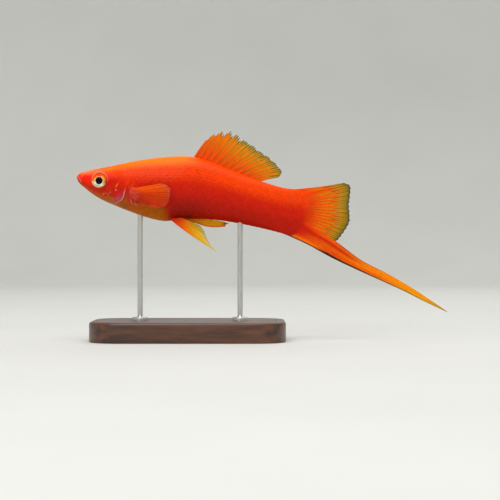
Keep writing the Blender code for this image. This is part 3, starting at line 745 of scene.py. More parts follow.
class Finish:
    """A material made of nodes, with short ways to add to it."""

    def __init__(self, name):
        self.made = bpy.data.materials.new(name)
        self.made.use_nodes = True
        self.tree = self.made.node_tree
        self.shader = self.tree.nodes["Principled BSDF"]

    def feed(self, node, inputs):
        """Sets a node's inputs, each to a value or to another node's output."""
        for name, value in inputs.items():
            if isinstance(value, bpy.types.NodeSocket):
                self.tree.links.new(value, node.inputs[name])
            else:
                node.inputs[name].default_value = value

    def node(self, kind, inputs, output):
        """The named output of a new node."""
        made = self.tree.nodes.new("ShaderNode" + kind)
        self.feed(made, inputs)
        return made.outputs[output]

    def plain(self, *colour):
        """One even colour, as it looks on a screen."""
        colour_out = self.node("RGB", {}, "Color")
        colour_out.default_value = (*linear(*colour), 1.0)
        return colour_out

    def noise(self, size, detail=3.0, stretch=(1.0, 1.0, 1.0)):
        """A noise whose grains are about size millimetres across, fixed to the piece."""
        place = self.node("TexCoord", {}, "Object")
        place = self.node("Mapping", {"Vector": place, "Scale": stretch}, "Vector")
        inputs = {"Vector": place, "Scale": 1.0 / (size * MM), "Detail": detail}
        return self.node("TexNoise", inputs, "Fac")

    def spread(self, value, low, high):
        """Stretches a noise's middle values over low to high."""
        inputs = {"Value": value, "From Min": 0.3, "From Max": 0.7, "To Min": low, "To Max": high}
        return self.node("MapRange", inputs, "Result")

    def bump(self, height, depth):
        return self.node("Bump", {"Height": height, "Distance": depth * MM}, "Normal")

    def times(self, colour, factor):
        """A colour made lighter or darker by a factor that changes from place to place."""
        mix = self.tree.nodes.new("ShaderNodeMix")
        mix.data_type = "RGBA"
        mix.blend_type = "MULTIPLY"
        self.feed(mix, {"Factor": 1.0, "A": colour, "B": factor})
        return mix.outputs["Result"]

    def finished(self, inputs):
        """The material, once its shader's inputs are set."""
        self.feed(self.shader, inputs)
        return self.made


def painted_finish(name, grain, mottle, roughness, depth, gloss, coat, see_through=False):
    """A finish that shows a piece's own paint, mottled, with a wet coat."""
    look = Finish(name)
    paint = look.tree.nodes.new("ShaderNodeAttribute")
    paint.attribute_name = "paint"
    colour = paint.outputs["Color"]
    for size in (grain * 4, grain):
        colour = look.times(colour, look.spread(look.noise(size), 1.0 - mottle, 1.0 + mottle))
    if see_through:
        look.feed(look.shader, {"Alpha": paint.outputs["Alpha"]})
    return look.finished({
        "Base Color": colour,
        "Roughness": look.spread(look.noise(grain * 2), *roughness),
        "Normal": look.bump(look.noise(grain), depth),
        "Specular IOR Level": gloss,
        "Coat Weight": coat,
        "Coat Roughness": 0.15,
    })


def cornea_finish():
    """Clear wet cornea: nothing but its gloss, which grows towards the rim."""
    look = Finish("clear_cornea")
    gloss = look.node("Fresnel", {"IOR": 1.22}, "Fac")
    return look.finished({
        "Base Color": (1.0, 1.0, 1.0, 1.0),
        "Metallic": 1.0,
        "Alpha": look.node("MapRange", {"Value": gloss, "To Max": 0.5}, "Result"),
        "Roughness": look.spread(look.noise(0.8), 0.03, 0.06),
    })


def wood_finish():
    """Dark close-grained hardwood under satin varnish, its grain along the base."""
    look = Finish("varnished_dark_wood")
    grain = look.noise(2.2, 6.0, (0.10, 1.0, 1.0))
    pores = look.noise(0.28, 2.0, (0.06, 1.0, 1.0))
    ramp = look.tree.nodes.new("ShaderNodeValToRGB")
    look.feed(ramp, {"Fac": grain})
    dark, light = ramp.color_ramp.elements
    dark.position, light.position = 0.32, 0.70
    dark.color, light.color = (*linear(44, 23, 13), 1.0), (*linear(112, 64, 36), 1.0)
    return look.finished({
        "Base Color": look.times(ramp.outputs["Color"], look.spread(pores, 0.72, 1.12)),
        "Roughness": look.spread(grain, 0.34, 0.46),
        "Normal": look.bump(pores, 0.03),
        "Coat Weight": 0.25,
        "Coat Roughness": 0.2,
    })


def steel_finish():
    """Steel brushed along the rods."""
    look = Finish("brushed_steel_rod")
    brushing = look.noise(0.25, 2.0, (1.0, 1.0, 0.03))
    return look.finished({
        "Base Color": look.times(look.plain(204, 204, 200), look.spread(brushing, 0.96, 1.02)),
        "Roughness": look.spread(brushing, 0.24, 0.32),
        "Metallic": 1.0,
        "Normal": look.bump(brushing, 0.002),
    })


def backdrop_finish():
    look = Finish("pale_studio_paper")
    tone = look.spread(look.noise(60.0), 0.985, 1.015)
    return look.finished({
        "Base Color": look.times(look.plain(222, 222, 218), tone),
        "Roughness": 0.85,
    })


# the fish


def make_skin(look):
    """One skin from the lips to the root of the tail."""
    bm = bmesh.new()
    bmesh.ops.create_uvsphere(bm, u_segments=SKIN_SIDES, v_segments=SKIN_RINGS, radius=1.0)
    ball = coordinates(bm)
    ring = np.rint(np.arccos(np.clip(ball[:, 2], -1.0, 1.0)) / math.pi * SKIN_RINGS).astype(int)
    station = ring_stations()[ring]
    angle = np.arctan2(ball[:, 1], ball[:, 0])
    places = body_surface(station, angle)
    move_points(bm, places)
    face_outwards(bm)
    bm.normal_update()
    normals = np.array([vert.normal for vert in bm.verts])
    height = places[:, 2].copy()
    along, row = scale_rows(station, angle)
    swell = scale_swell(along, row)
    places += normals * skin_relief(station, height, swell)[:, None]
    seat_eyes(places)
    move_points(bm, places)
    paint = hiding(skin_paint(station, height, swell, row))
    hand_over(bm, "scaled_skin", look, ("head", "torso", "tail_stalk"), paint)


EYE_SILVER = linear(212, 212, 180)
EYE_WHITE = linear(255, 250, 214)
EYE_GOLD = linear(255, 162, 4)
EYE_RED = linear(244, 62, 2)
EYE_BROWN = linear(150, 84, 40)
EYE_OCHRE = linear(190, 104, 14)
EYE_BLUE = linear(150, 156, 196)
EYE_PINK = linear(242, 150, 112)
PUPIL = linear(6, 6, 8)


def eye_paint(places):
    """The iris: silver below, red above, gold at its sides, with a fine ring round the pupil."""
    x, z = places[:, 0] - EYE_PLACE[0], places[:, 2] - EYE_PLACE[1]
    radius, turn = np.hypot(x, z), np.arctan2(z, x)
    px, pz = places[:, 0] - PUPIL_PLACE[0], places[:, 2] - PUPIL_PLACE[1]
    from_pupil = np.hypot(px, pz)
    fibres = ripple(turn * 23.0 + radius, turn * 41.0 + 2.0, turn * 67.0 - radius * 3.0)
    lower = smoothstep((-0.10 - z + 0.25 * ripple(turn * 5.0, turn * 9.0 + 1.0)) / 0.9)
    paint = over(np.tile(EYE_RED, (len(x), 1)), EYE_SILVER, lower)
    for colour, place, reach, strength in (
        (EYE_GOLD, (-1.50, 0.00), (0.45, 0.60), 0.95),
        (EYE_GOLD, (1.32, 0.05), (0.42, 0.80), 0.95),
        (EYE_GOLD, (0.55, 1.15), (0.42, 0.25), 0.9),
        (EYE_GOLD, (-0.95, 0.95), (0.30, 0.25), 0.7),
        (EYE_BROWN, (1.95, -0.35), (0.32, 0.55), 0.7),
        (EYE_BROWN, (1.45, -0.75), (0.25, 0.22), 0.6),
        (EYE_OCHRE, (-0.33, -1.58), (0.42, 0.16), 0.95),
        (EYE_BLUE, (0.50, -1.50), (0.30, 0.14), 0.6),
        (EYE_WHITE, (1.05, -1.50), (0.35, 0.30), 0.8),
        (EYE_WHITE, (-0.95, -1.15), (0.40, 0.30), 0.8),
    ):
        paint = over(paint, colour, strength * blot(x, z, place, reach))
    ring = bump(from_pupil - 1.20, 0.12)
    paint = layered(
        paint,
        (EYE_WHITE, ring * (0.35 + 0.55 * until(pz, 0.4, 1.0))),
        (EYE_WHITE, 0.7 * blot(px, pz, (0.75, 0.95), (0.30, 0.18), -35.0)),
    )
    rim = bump(radius - 2.27, 0.12)
    return layered(
        paint * (1.0 + 0.10 * fibres)[:, None],
        (EYE_PINK, 0.75 * rim * rise(z, -0.6, 1.2)),
        (EYE_SILVER, 0.8 * rim * rise(-z, 0.2, 1.2)),
        (EYE_BROWN, 0.55 * bump(radius - 2.07, 0.08)),
        (PUPIL, 1.0 - smoothstep((from_pupil - PUPIL_RADIUS + 0.03) / 0.08)),
    )


def turned(profile, steps):
    """A shape spun from a profile of (radius, height)."""
    bm = bmesh.new()
    chain = [bm.verts.new((radius, 0.0, height)) for radius, height in profile]
    edges = [bm.edges.new(pair) for pair in zip(chain, chain[1:])]
    bmesh.ops.spin(
        bm, geom=chain + edges, axis=(0, 0, 1), cent=(0, 0, 0), angle=2 * math.pi, steps=steps,
        use_merge=True,
    )
    bmesh.ops.remove_doubles(bm, verts=bm.verts, dist=1e-5)
    return bm


def quarter(radius, height, across, up, steps):
    """A quarter of an oval about (radius, height), from straight up or down out to its side."""
    turns = [math.pi / 2 * i / steps for i in range(steps + 1)]
    return [(radius + across * math.sin(t), height + up * math.cos(t)) for t in turns]


def make_eye(side, iris_look, cornea_look):
    name = SIDES[side]
    rim = [(radius, EYE_SEAT + up) for radius, up in EYE_RIM]
    iris = [
        (IRIS_RADIUS * i / 27, EYE_SEAT - 0.02 + IRIS_DOME * math.sin(math.pi * i / 27))
        for i in range(28)
    ]
    ball = turned(iris + rim + EYE_BACK, EYE_STEPS)
    bmesh.ops.transform(ball, matrix=eye_axis(side), verts=ball.verts)
    paint = hiding(eye_paint(coordinates(ball)))
    hand_over(ball, "eyeball_" + name, iris_look, ("eye_" + name,), paint)
    low, high = EYE_SEAT - 0.04, EYE_HALF_DEPTH - 0.05
    dome = quarter(0.0, low, CORNEA_RADIUS, high - low, 14)
    hidden = [(CORNEA_RADIUS - 0.1, EYE_SEAT - 0.25), (0.0, EYE_SEAT - 0.25)]
    cap = turned(dome + hidden, EYE_STEPS)
    bmesh.ops.transform(cap, matrix=eye_axis(side), verts=cap.verts)
    hand_over(cap, "cornea_" + name, cornea_look, ("eye_" + name,))


# fins


def fin_block(columns, rows):
    """A thin block with the same grid on both faces, and its points' shares across and along."""
    bm = bmesh.new()
    bmesh.ops.create_grid(bm, x_segments=columns, y_segments=rows, size=1.0)
    bmesh.ops.solidify(bm, geom=bm.faces[:], thickness=1.0)
    points = coordinates(bm)
    return bm, (points[:, 0] + 1.0) / 2.0, (points[:, 1] + 1.0) / 2.0


def ray_crest(across, along, rays, forks, root_width=0.12, tip_width=0.07):
    """1 along the middle of a ray and 0 between rays.

    Each fork is where along the fin a ray parts in two, and how far the halves lie from its
    middle at the root and at the margin, in shares of the space between rays.
    """
    off = np.abs(across * (rays - 1) - np.rint(across * (rays - 1)))
    for start, near, far in forks:
        off = np.abs(off - (near + (far - near) * along) * rise(along, start, 0.3))
    uneven = 0.85 + 0.15 * np.sin(np.rint(across * (rays - 1) * 2) * 2.4)
    return bump(off, root_width + (tip_width - root_width) * along) * uneven


def fin_thickness(crest, along, length, web=FIN_WEB, ray=FIN_RAY, tip=FIN_TIP):
    """Half the fin's thickness: thin web, round rays with fine joints, and a thin margin."""
    joint = bump(np.mod(along * length / RAY_JOINT, 1.0) - 0.5, 0.14)
    rod = ray * (1.0 - 0.55 * along) * (1.0 - RAY_JOINT_DEPTH * joint)
    full = web + (rod - web) * crest
    return full + (tip - full) * rise(along, 0.93, 0.07)


def blade_thickness(crest, across, length, web, ray, edge_width):
    """Half a blade's thickness, rounded off towards its two edges."""
    half = fin_thickness(crest, np.zeros_like(across), length, web, ray)
    return half * quarter_round(0.25 + np.minimum(across, 1.0 - across) / edge_width)


def flat_fin(root, margin, bow, skew=1.0):
    """Points of a fin in the fish's middle plane, from a root curve to a margin curve."""

    def place(across, along):
        (x0, z0), (x1, z1) = root(across), margin(across)
        lift = np.sin(math.pi * along**skew) * bow(across)
        reach = np.hypot(x1 - x0, z1 - z0)
        x = x0 + (x1 - x0) * along - lift * (z1 - z0) / reach
        z = z0 + (z1 - z0) * along + lift * (x1 - x0) / reach
        return x, z

    return place


def blade(upper, lower):
    """Points of a long blade between its upper and its lower edge."""

    def place(across, along):
        (x0, z0), (x1, z1) = upper(along), lower(along)
        return x0 + (x1 - x0) * across, z0 + (z1 - z0) * across

    return place


def notched(across, along, rays, depth):
    """Draws the margin in between the tips of the rays, more between two whole rays."""
    whole = np.abs(np.sin(math.pi * across * (rays - 1)))
    small = np.abs(np.sin(math.pi * across * (rays - 1) * RAY_TIPS))
    worn = 0.5 + 0.5 * ripple(across * 37.0, across * 91.0 + 1.0, across * 173.0)
    cut = depth * (0.45 * whole**3 + 0.35 * small**2 + 0.35 * worn)
    return along - cut * rise(along, 0.7, 0.3)


def streaks(across, along, rays, start, count=4):
    """Thin dark streaks in the web near the margin, of uneven length."""
    place = across * (rays - 1) * count
    longer = np.mod(np.sin(np.rint(place) * 12.99) * 43.7, 1.0)
    line = bump(place - np.rint(place), 0.26)
    return line * smoothstep((along - start + 0.14 * longer) / 0.08)


def fin_paint(along, crest, tables, hides, streak):
    """A fin's colours, off tables for rays and web, and how much it hides at root and margin."""
    rays, web = (shade_at(along, table) for table in tables)
    web = over(web, DARK_PIGMENT, streak)
    hides = hides[0] + (hides[1] - hides[0]) * rise(along, 0.5, 0.5)
    hides = hides + (0.98 - hides) * crest * 0.75
    return np.column_stack((web + (rays - web) * crest[:, None], hides))


def tint(paint, colour, strength):
    """Lays a colour over a fin's paint, as strongly as said at each point."""
    paint[:, :3] = over(paint[:, :3], colour, strength)


DORSAL_SHADES = (
    shades(
        (0.0, 255, 72, 2), (0.40, 255, 80, 2), (0.70, 255, 112, 3), (0.88, 236, 152, 12),
        (1.0, 176, 156, 30),
    ),
    shades(
        (0.0, 240, 62, 2), (0.20, 206, 78, 2), (0.55, 204, 122, 3), (0.80, 176, 140, 8),
        (1.0, 128, 122, 30),
    ),
)
RAY_RED = linear(238, 40, 2)
FAN_SHADES = (
    shades(
        (0.0, 232, 44, 2), (0.27, 246, 66, 2), (0.47, 252, 92, 2), (0.67, 240, 116, 3),
        (0.83, 226, 148, 8), (0.93, 196, 154, 20), (1.0, 110, 106, 56),
    ),
    shades(
        (0.0, 206, 34, 2), (0.27, 214, 76, 2), (0.47, 222, 120, 3), (0.67, 200, 130, 4),
        (0.83, 160, 122, 8), (0.93, 110, 98, 18), (1.0, 70, 70, 40),
    ),
)


def make_fin(name, node, block, places, half, paint, look, normal=(0.0, 1.0, 0.0)):
    """Hands over a fin whose two faces stand half its thickness off its middle sheet."""
    level = coordinates(block)[:, 2]
    side = np.where(level > level.mean(), 1.0, -1.0)
    move_points(block, places + normal * (side * half)[:, None])
    hand_over(block, name, look, (node,), paint)


def middle_sheet(place, across, along, sway):
    """Points near the fish's middle plane, swayed a little sideways."""
    x, z = place(across, along)
    return np.stack((x, sway, z), axis=1)


def make_dorsal(look):
    front, rear = DORSAL_BASE
    margin = curve_through(DORSAL_MARGIN)

    def root(across):
        station = front + (rear - front) * across
        return station, body_size(station)[0] - DORSAL_SINK

    place = flat_fin(root, margin, lambda across: DORSAL_BOW * (1.0 - across))
    block, across, along = fin_block(396, 84)
    crest = ray_crest(across, along, DORSAL_RAYS, ((0.10, 0.14, 0.25), (0.60, 0.05, 0.125)), 0.17)
    cut = 0.06 + 0.14 * fall(across, 0.25, 0.3)
    reach = notched(across, along, DORSAL_RAYS, cut)
    sway = 0.35 * along**2 * ripple(across * 7.0, across * 3.0 + 1.0)
    sway = sway + 0.05 * np.cos(2 * math.pi * across * (DORSAL_RAYS - 1)) * along
    places = middle_sheet(place, across, reach, sway)
    half = fin_thickness(crest, along, 12.0)
    streak = streaks(across, along, DORSAL_RAYS, 0.90 - 0.14 * across)
    streak = streak * rise(across, -0.05, 0.4)
    ripened = along * (0.55 + 0.45 * smoothstep(across / 0.45))
    paint = fin_paint(ripened, crest, DORSAL_SHADES, (0.97, 0.80), 0.85 * streak)
    tint(paint, DARK_PIGMENT, 0.6 * rise(along, 0.985, 0.012) * rise(across, 0.2, 0.3))
    make_fin("dorsal_sail", "dorsal_fin", block, places, half, paint, look)


def make_fan(look):
    """The tail fan: its rays spread from one focus, and the first ones from the back."""
    margin = curve_through(FAN_MARGIN)

    def root(across):
        x, z = (np.asarray(place) for place in margin(across))
        x, z = x - FAN_FOCUS[0], z - FAN_FOCUS[1]
        share = FAN_ROOT_RADIUS / np.hypot(x, z)
        x, z = FAN_FOCUS[0] + x * share, FAN_FOCUS[1] + z * share
        first = fall(across, 0.0, 0.12)
        return x + (FAN_BACK[0] - x) * first, z + (FAN_BACK[1] - z) * first

    def bow(across):
        return FAN_UPPER_BOW * (1.0 - across) ** 8 + FAN_LOWER_BOW * across**3

    place = flat_fin(root, margin, bow)
    block, across, along = fin_block(480, 84)
    crest = ray_crest(across, along, FAN_RAYS, ((0.18, 0.12, 0.25), (0.50, 0.06, 0.125)), 0.20, 0.07)
    reach = notched(across, along, FAN_RAYS, 0.022)
    sway = 0.30 * along**2 * ripple(across * 9.0, across * 4.0 + 2.0)
    places = middle_sheet(place, across, reach, sway)
    half = fin_thickness(crest, along, 14.0) + 0.22 * fall(along, 0.0, 0.5)
    streak = streaks(across, along, FAN_RAYS, 0.72, 2)
    paint = fin_paint(along, crest, FAN_SHADES, (0.98, 0.94), 0.95 * streak)
    bundle = (0.5 + 0.5 * np.cos(2 * math.pi * across * (FAN_RAYS - 1))) ** 2
    bundle *= rise(along, 0.15, 0.2) * fall(along, 0.60, 0.25)
    tint(paint, RAY_RED, 0.75 * bundle)
    station, height = places[:, 0], places[:, 2]
    flesh = shade_at(flank_share(station, height), FLANK_SHADES)
    _, shown = fan_rays(station, height)
    tint(paint, flesh, 0.85 * (1.0 - shown))
    tint(paint, DARK_PIGMENT, 0.7 * rise(along, 0.98, 0.015))
    make_fin("tail_fan", "caudal_fin", block, places, half, paint, look)


SWORD_RED = linear(204, 26, 3)
SWORD_FLAME = linear(246, 78, 2)
# painted highlight along the sword's lower edge, near its root
SWORD_HIGHLIGHT = linear(255, 126, 2)
SWORD_DUSK = linear(150, 84, 40)
SWORD_OLIVE = linear(122, 88, 22)
SWORD_BLACK = linear(24, 16, 12)
SWORD_SHADES = shades(
    (0.0, 196, 28, 3), (0.09, 214, 42, 3), (0.16, 255, 100, 2), (0.28, 255, 124, 2),
    (0.50, 255, 136, 2), (0.70, 255, 148, 3), (0.85, 250, 164, 5), (0.93, 226, 164, 24),
    (1.0, 206, 172, 66),
)


def make_sword(look):
    place = blade(curve_through(SWORD_UPPER), curve_through(SWORD_LOWER))
    block, across, along = fin_block(72, 400)
    crest = ray_crest(across, along, SWORD_RAYS, (), 0.24, 0.24)
    sway = 0.4 * along**2 * np.sin(along * 5.0)
    places = middle_sheet(place, across, along, sway)
    half = blade_thickness(crest, across, 55.0, 0.20, 0.32, 0.10) * (1.0 - 0.65 * along)
    front = fall(along, 0.32, 0.20)
    middle = rise(along, 0.22, 0.1) * fall(along, 0.55, 0.25)
    lines = (1.0 - crest) * rise(across, 0.36, 0.1) * fall(along, 0.28, 0.2)
    lit = rise(along, 0.05, 0.05) * fall(along, 0.20, 0.08)
    dusky = bump(across, 0.08) * rise(along, 0.22, 0.06)
    low_edge = rise(across, 0.80, 0.08)
    rear = rise(along, 0.48, 0.12) * fall(along, 0.95, 0.05)
    black = low_edge * rise(along, 0.22, 0.08) * fall(along, 0.48, 0.14)
    outline = rise(across, 0.93, 0.03) * rise(along, 0.06, 0.03)
    black = np.maximum(black, outline * fall(along, 0.5, 0.2))
    colour = layered(
        shade_at(along, SWORD_SHADES),
        (SWORD_RED, 0.92 * bump(across - 0.28, 0.15) * front),
        (SWORD_FLAME, 0.7 * bump(across - 0.05, 0.10) * front),
        (SWORD_FLAME, 0.85 * bump(across - 0.70, 0.12) * middle),
        (SWORD_RED, 0.65 * lines),
        # painted highlight along the lower edge, near the root
        (SWORD_HIGHLIGHT, 0.6 * bump(across - 0.86, 0.11) * lit),
        (SWORD_DUSK, 0.6 * dusky * fall(along, 0.5, 0.15)),
        (SWORD_OLIVE, 0.85 * low_edge * rear),
        (SWORD_BLACK, 0.95 * black),
    )
    make_fin("tail_sword", "sword", block, places, half, hiding(colour, 0.96), look)


PECTORAL_SHADES = (
    shades(
        (0.0, 240, 60, 14), (0.25, 255, 96, 4), (0.7, 255, 104, 6), (0.90, 246, 104, 30),
        (1.0, 236, 116, 84),
    ),
    shades(
        (0.0, 226, 44, 8), (0.3, 250, 80, 3), (0.8, 244, 78, 3), (1.0, 216, 62, 24),
    ),
)
PECTORAL_LOW = linear(186, 34, 3)
PECTORAL_EDGE = linear(255, 112, 10)


def make_pectoral(side, look):
    name = SIDES[side]
    margin = curve_through(PECTORAL_MARGIN)
    (x_top, z_top), (x_low, z_low) = PECTORAL_BASE
    middle = ((x_top + x_low) / 2.0, (z_top + z_low) / 2.0)
    root = float(flank(*middle)) + PECTORAL_STANDOFF
    block, across, along = fin_block(264, 70)
    forks = ((0.30, 0.10, 0.24), (0.62, 0.05, 0.12))
    crest = ray_crest(across, along, PECTORAL_RAYS, forks, 0.16, 0.08)
    reach = notched(across, along, PECTORAL_RAYS, 0.03)
    x0, z0 = x_top + (x_low - x_top) * across, z_top + (z_low - z_top) * across
    x1, z1 = margin(across)
    x, z = x0 + (x1 - x0) * reach, z0 + (z1 - z0) * reach
    out = root + (x - x_top) * math.tan(PECTORAL_SPREAD) + 0.15 * along * np.sin(across * 8.0)
    places = np.stack((x, side * out, z), axis=1)
    half = fin_thickness(crest, along, 10.0, 0.06, 0.15, 0.03)
    paint = fin_paint(along, crest, PECTORAL_SHADES, (0.90, 0.60), np.zeros_like(along))
    low = rise(across, 0.22, 0.30) * (1.0 - 0.35 * along)
    tint(paint, PECTORAL_LOW, 0.95 * low)
    tint(paint, PECTORAL_EDGE, 0.8 * bump(across, 0.07))
    pale = bump(along, 0.14) * (0.5 + 0.5 * np.cos(across * 2 * math.pi * 5))
    tint(paint, PALE, 0.2 * pale)
    paint[:, 3] *= 1.0 - 0.62 * rise(across, 0.50, 0.35) * smoothstep(along / 0.3)
    normal = np.array((-math.sin(PECTORAL_SPREAD), side * math.cos(PECTORAL_SPREAD), 0.0))
    fin = "pectoral_fin_" + name
    make_fin("pectoral_fan_" + name, fin, block, places, half, paint, look, normal)
    lobe = bmesh.new()
    bmesh.ops.create_uvsphere(lobe, u_segments=48, v_segments=32, radius=1.0)
    ball = coordinates(lobe) * np.array(PECTORAL_LOBE)
    ball[:, 0] += PECTORAL_LOBE_BEHIND - math.sin(PECTORAL_LOBE_LEAN) * ball[:, 2]
    ball += np.array((middle[0], side * (root - PECTORAL_LOBE_DEPTH), middle[1]))
    move_points(lobe, ball)
    station, height = ball[:, 0], ball[:, 2]
    speckle = ripple(height * 5.0 + station, height * 11.0 - station * 3.0)
    even = np.ones(len(ball))
    colour = skin_paint(station, height, 0.35 * even, 0.5 * even)
    paint = hiding(over(colour, PALE, 0.07 + 0.07 * speckle))
    hand_over(lobe, "pectoral_base_" + name, look, (fin,), paint)


PELVIC_SHADES = (
    shades(
        (0.0, 214, 46, 34), (0.12, 238, 46, 4), (0.35, 252, 84, 4), (0.6, 250, 150, 6),
        (0.85, 244, 190, 30), (1.0, 250, 216, 150),
    ),
    shades(
        (0.0, 206, 36, 10), (0.2, 232, 76, 4), (0.4, 226, 130, 4), (0.7, 214, 168, 10),
        (1.0, 206, 180, 80),
    ),
)
PELVIC_GREEN = linear(130, 130, 44)


def make_pelvic(side, look):
    def bow(across):
        return PELVIC_BOW * (1.0 - across)

    flat = flat_fin(curve_through(PELVIC_ROOT), curve_through(PELVIC_MARGIN), bow, PELVIC_BOW_SKEW)
    hinge = PELVIC_ROOT[0][1]
    block, across, along = fin_block(150, 90)
    forks = ((0.15, 0.14, 0.24), (0.55, 0.06, 0.12))
    crest = ray_crest(across, along, PELVIC_RAYS, forks, 0.14, 0.07)
    reach = notched(across, along, PELVIC_RAYS, 0.03)
    x, z = flat(across, reach)
    out = PELVIC_OFFSET + (hinge - z) * math.tan(PELVIC_SPLAY) + 0.12 * along * np.sin(across * 7.0)
    places = np.stack((x, side * out, z), axis=1)
    half = fin_thickness(crest, along, 14.0, 0.09, 0.22)
    streak = streaks(across, along, PELVIC_RAYS, 0.90) * rise(across, 0.2, 0.4)
    paint = fin_paint(along, crest, PELVIC_SHADES, (0.97, 0.90), 0.8 * streak)
    green = rise(across, 0.50, 0.4) * rise(along, 0.30, 0.4)
    tint(paint, PELVIC_GREEN, 0.8 * green * (1.0 - 0.6 * crest))
    normal = np.array((0.0, side * math.cos(PELVIC_SPLAY), math.sin(PELVIC_SPLAY)))
    name = "pelvic_fin_" + SIDES[side]
    make_fin("pelvic_blade_" + SIDES[side], name, block, places, half, paint, look, normal)


GONOPODIUM_SHADES = shades(
    (0.0, 180, 34, 6), (0.20, 200, 60, 6), (0.34, 206, 112, 6), (0.50, 220, 142, 4),
    (0.8, 222, 154, 12), (0.93, 210, 100, 20), (1.0, 190, 60, 20),
)


def make_gonopodium(look):
    flat = blade(curve_through(GONOPODIUM_UPPER), curve_through(GONOPODIUM_LOWER))
    block, across, along = fin_block(60, 130)
    crest = ray_crest(across, along, GONOPODIUM_RAYS, (), 0.24, 0.24)
    x, z = flat(across, along)
    near_tip = rise(along, GONOPODIUM_NOTCH_START, 1.0 - GONOPODIUM_NOTCH_START)
    notch = np.sin(math.pi * across) + 0.25 * np.abs(np.sin(3 * math.pi * across))
    x = x - GONOPODIUM_NOTCH * notch * near_tip
    places = np.stack((x, np.zeros_like(x), z), axis=1)
    half = blade_thickness(crest, across, 12.0, 0.26, 0.46, 0.2)
    half *= 1.0 - 0.6 * rise(along, 0.75, 0.25)
    colour = layered(
        shade_at(along, GONOPODIUM_SHADES),
        (linear(228, 88, 6), 0.85 * rise(across, 0.72, 0.2)),
        (linear(170, 110, 10), 0.5 * (1.0 - crest)),
        (DARK_PIGMENT, 0.85 * blot(x, z, (45.9, -6.7), (0.35, 0.28))),
    )
    make_fin("gonopodium_rod", "gonopodium", block, places, half, hiding(colour, 0.98), look)


# the stand


def round_over(bm, edges, offset, segments):
    bmesh.ops.bevel(
        bm, geom=edges, offset=offset, segments=segments, profile=0.5, affect="EDGES", material=-1
    )


def make_base(look):
    """A flat base with round corners, a softened rim and a fine line let into its top."""
    low, high = (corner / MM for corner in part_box("stand_base"))
    bm = bmesh.new()
    bmesh.ops.create_cube(bm, size=1.0)
    bmesh.ops.scale(bm, vec=high - low, verts=bm.verts)
    bmesh.ops.translate(bm, vec=(low + high) / 2.0, verts=bm.verts)
    upright = [e for e in bm.edges if abs(e.verts[0].co.z - e.verts[1].co.z) > 1.0]
    round_over(bm, upright, BASE_CORNER, 16)
    top = max(bm.faces, key=lambda face: face.calc_center_median().z)
    round_over(bm, list(top.edges), BASE_TOP_ROUND, 5)
    bottom = min(bm.faces, key=lambda face: face.calc_center_median().z)
    round_over(bm, list(bottom.edges), BASE_FOOT_ROUND, 2)
    top = max(bm.faces, key=lambda face: (face.calc_center_median().z, face.calc_area()))
    rims = []
    for step in (GROOVE_INSET, GROOVE_HALF_WIDTH, GROOVE_HALF_WIDTH):
        rim = bmesh.ops.inset_region(bm, faces=[top], thickness=step, use_even_offset=True)
        rims.append(rim["faces"])
    inner = set(top.verts)
    groove = {vert for face in rims[1] for vert in face.verts} & {
        other for vert in inner for edge in vert.link_edges for other in edge.verts
    }
    for vert in groove - inner:
        vert.co.z -= GROOVE_DEPTH
    crease = math.radians(35)
    hand_over(bm, "base_plinth", look, ("stand_base",), None, ROW_SCALE, crease)


def make_rod(where, station, look):
    """A turned rod with a round foot and a fillet, up into the belly."""
    node = "stand_rod_" + where
    low, high = (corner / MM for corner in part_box(node))
    middle = (low + high) / 2.0
    belly = FISH_TO_ROW @ Vector((station, 0.0, float(body_size(station)[1])))
    shoulder = BASE_TOP + ROD_FOOT_HEIGHT
    profile = [(0.0, belly.z / MM + 0.4), (ROD_RADIUS, belly.z / MM + 0.4)]
    fillet, edge = ROD_FILLET, ROD_FOOT_EDGE
    profile += quarter(ROD_RADIUS + fillet, shoulder + fillet, -fillet, -fillet, 8)[::-1]
    profile += quarter(ROD_FOOT_RADIUS - edge, shoulder - edge, edge, edge, 8)
    profile += [(ROD_FOOT_RADIUS, BASE_TOP), (0.0, BASE_TOP)]
    rod = turned(profile, 48)
    bmesh.ops.translate(rod, vec=Vector((middle.x, middle.y, 0.0)), verts=rod.verts)
    hand_over(rod, "turned_rod_" + where, look, (node,), None, ROW_SCALE)


# the studio


def make_backdrop(look):
    """A round pale floor that curves up into a wall on every side."""
    sweep = quarter(COVE_FLOOR, COVE_SWEEP, COVE_SWEEP, -COVE_SWEEP, 16)
    bm = turned([(0.0, 0.0)] + sweep + [(COVE_FLOOR + COVE_SWEEP, COVE_TOP)], 96)
    bmesh.ops.recalc_face_normals(bm, faces=bm.faces)
    floor = min(bm.faces, key=lambda face: face.calc_center_median().length)
    if floor.normal.z < 0:
        bmesh.ops.reverse_faces(bm, faces=bm.faces)
    for face in bm.faces:
        face.smooth = True
    mesh = bpy.data.meshes.new("studio_cove")
    bm.to_mesh(mesh)
    bm.free()
    mesh.materials.append(look)
    place_object("studio_cove", mesh)


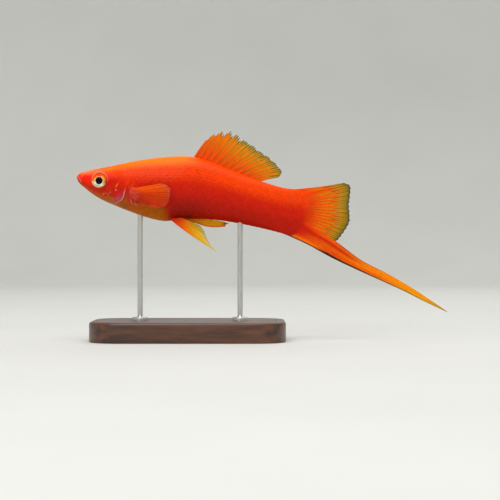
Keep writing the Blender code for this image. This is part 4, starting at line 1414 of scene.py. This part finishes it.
def soft_light(name, place, width, height, power):
    """A softbox that faces the fish and isn't seen itself."""
    lamp = bpy.data.lights.new(name, "AREA")
    lamp.shape = "RECTANGLE"
    lamp.size, lamp.size_y = width, height
    lamp.energy = power
    light = place_object(name, lamp)
    aim = FISH_TO_ROW @ Vector((MIDDLE_STATION, 0.0, 0.0))
    light.location = place
    light.rotation_euler = (aim - light.location).to_track_quat("-Z", "Y").to_euler()
    light.visible_camera = False


def make_lights():
    for softbox in SOFTBOXES:
        soft_light(*softbox)
    world = bpy.data.worlds.new("studio_air")
    world.use_nodes = True
    air = world.node_tree.nodes["Background"]
    air.inputs["Color"].default_value = (1.0, 1.0, 1.0, 1.0)
    air.inputs["Strength"].default_value = AIR_STRENGTH
    bpy.context.scene.world = world


def make_camera():
    lens = bpy.data.cameras.new("photo_camera")
    lens.sensor_fit = "HORIZONTAL"
    lens.angle = 2.0 * math.atan(PHOTO_FIELD / 2.0 / CAMERA_DISTANCE)
    lens.clip_start = 0.01
    camera = place_object("photo_camera", lens)
    x, z = PHOTO_CENTRE
    camera.location = Vector((x, -CAMERA_DISTANCE, z)) * MM
    camera.rotation_euler = (math.pi / 2, 0.0, 0.0)
    bpy.context.scene.camera = camera


def main():
    skin_look = painted_finish("wet_skin", 0.32, 0.085, (0.26, 0.38), 0.006, 0.07, 0.05)
    fin_look = painted_finish("fin_web", 0.25, 0.06, (0.34, 0.50), 0.01, 0.06, 0.02, True)
    iris_look = painted_finish("iris", 0.12, 0.07, (0.40, 0.55), 0.002, 0.03, 0.0)
    cornea_look = cornea_finish()
    make_skin(skin_look)
    for side in SIDES:
        make_eye(side, iris_look, cornea_look)
    make_dorsal(fin_look)
    make_fan(fin_look)
    make_sword(fin_look)
    make_gonopodium(fin_look)
    for side in SIDES:
        make_pectoral(side, fin_look)
        make_pelvic(side, fin_look)
    make_base(wood_finish())
    steel = steel_finish()
    for where, station in ROD_STATIONS.items():
        make_rod(where, station, steel)
    make_backdrop(backdrop_finish())
    make_lights()
    make_camera()
    bpy.context.scene.view_settings.view_transform = "Standard"


main()
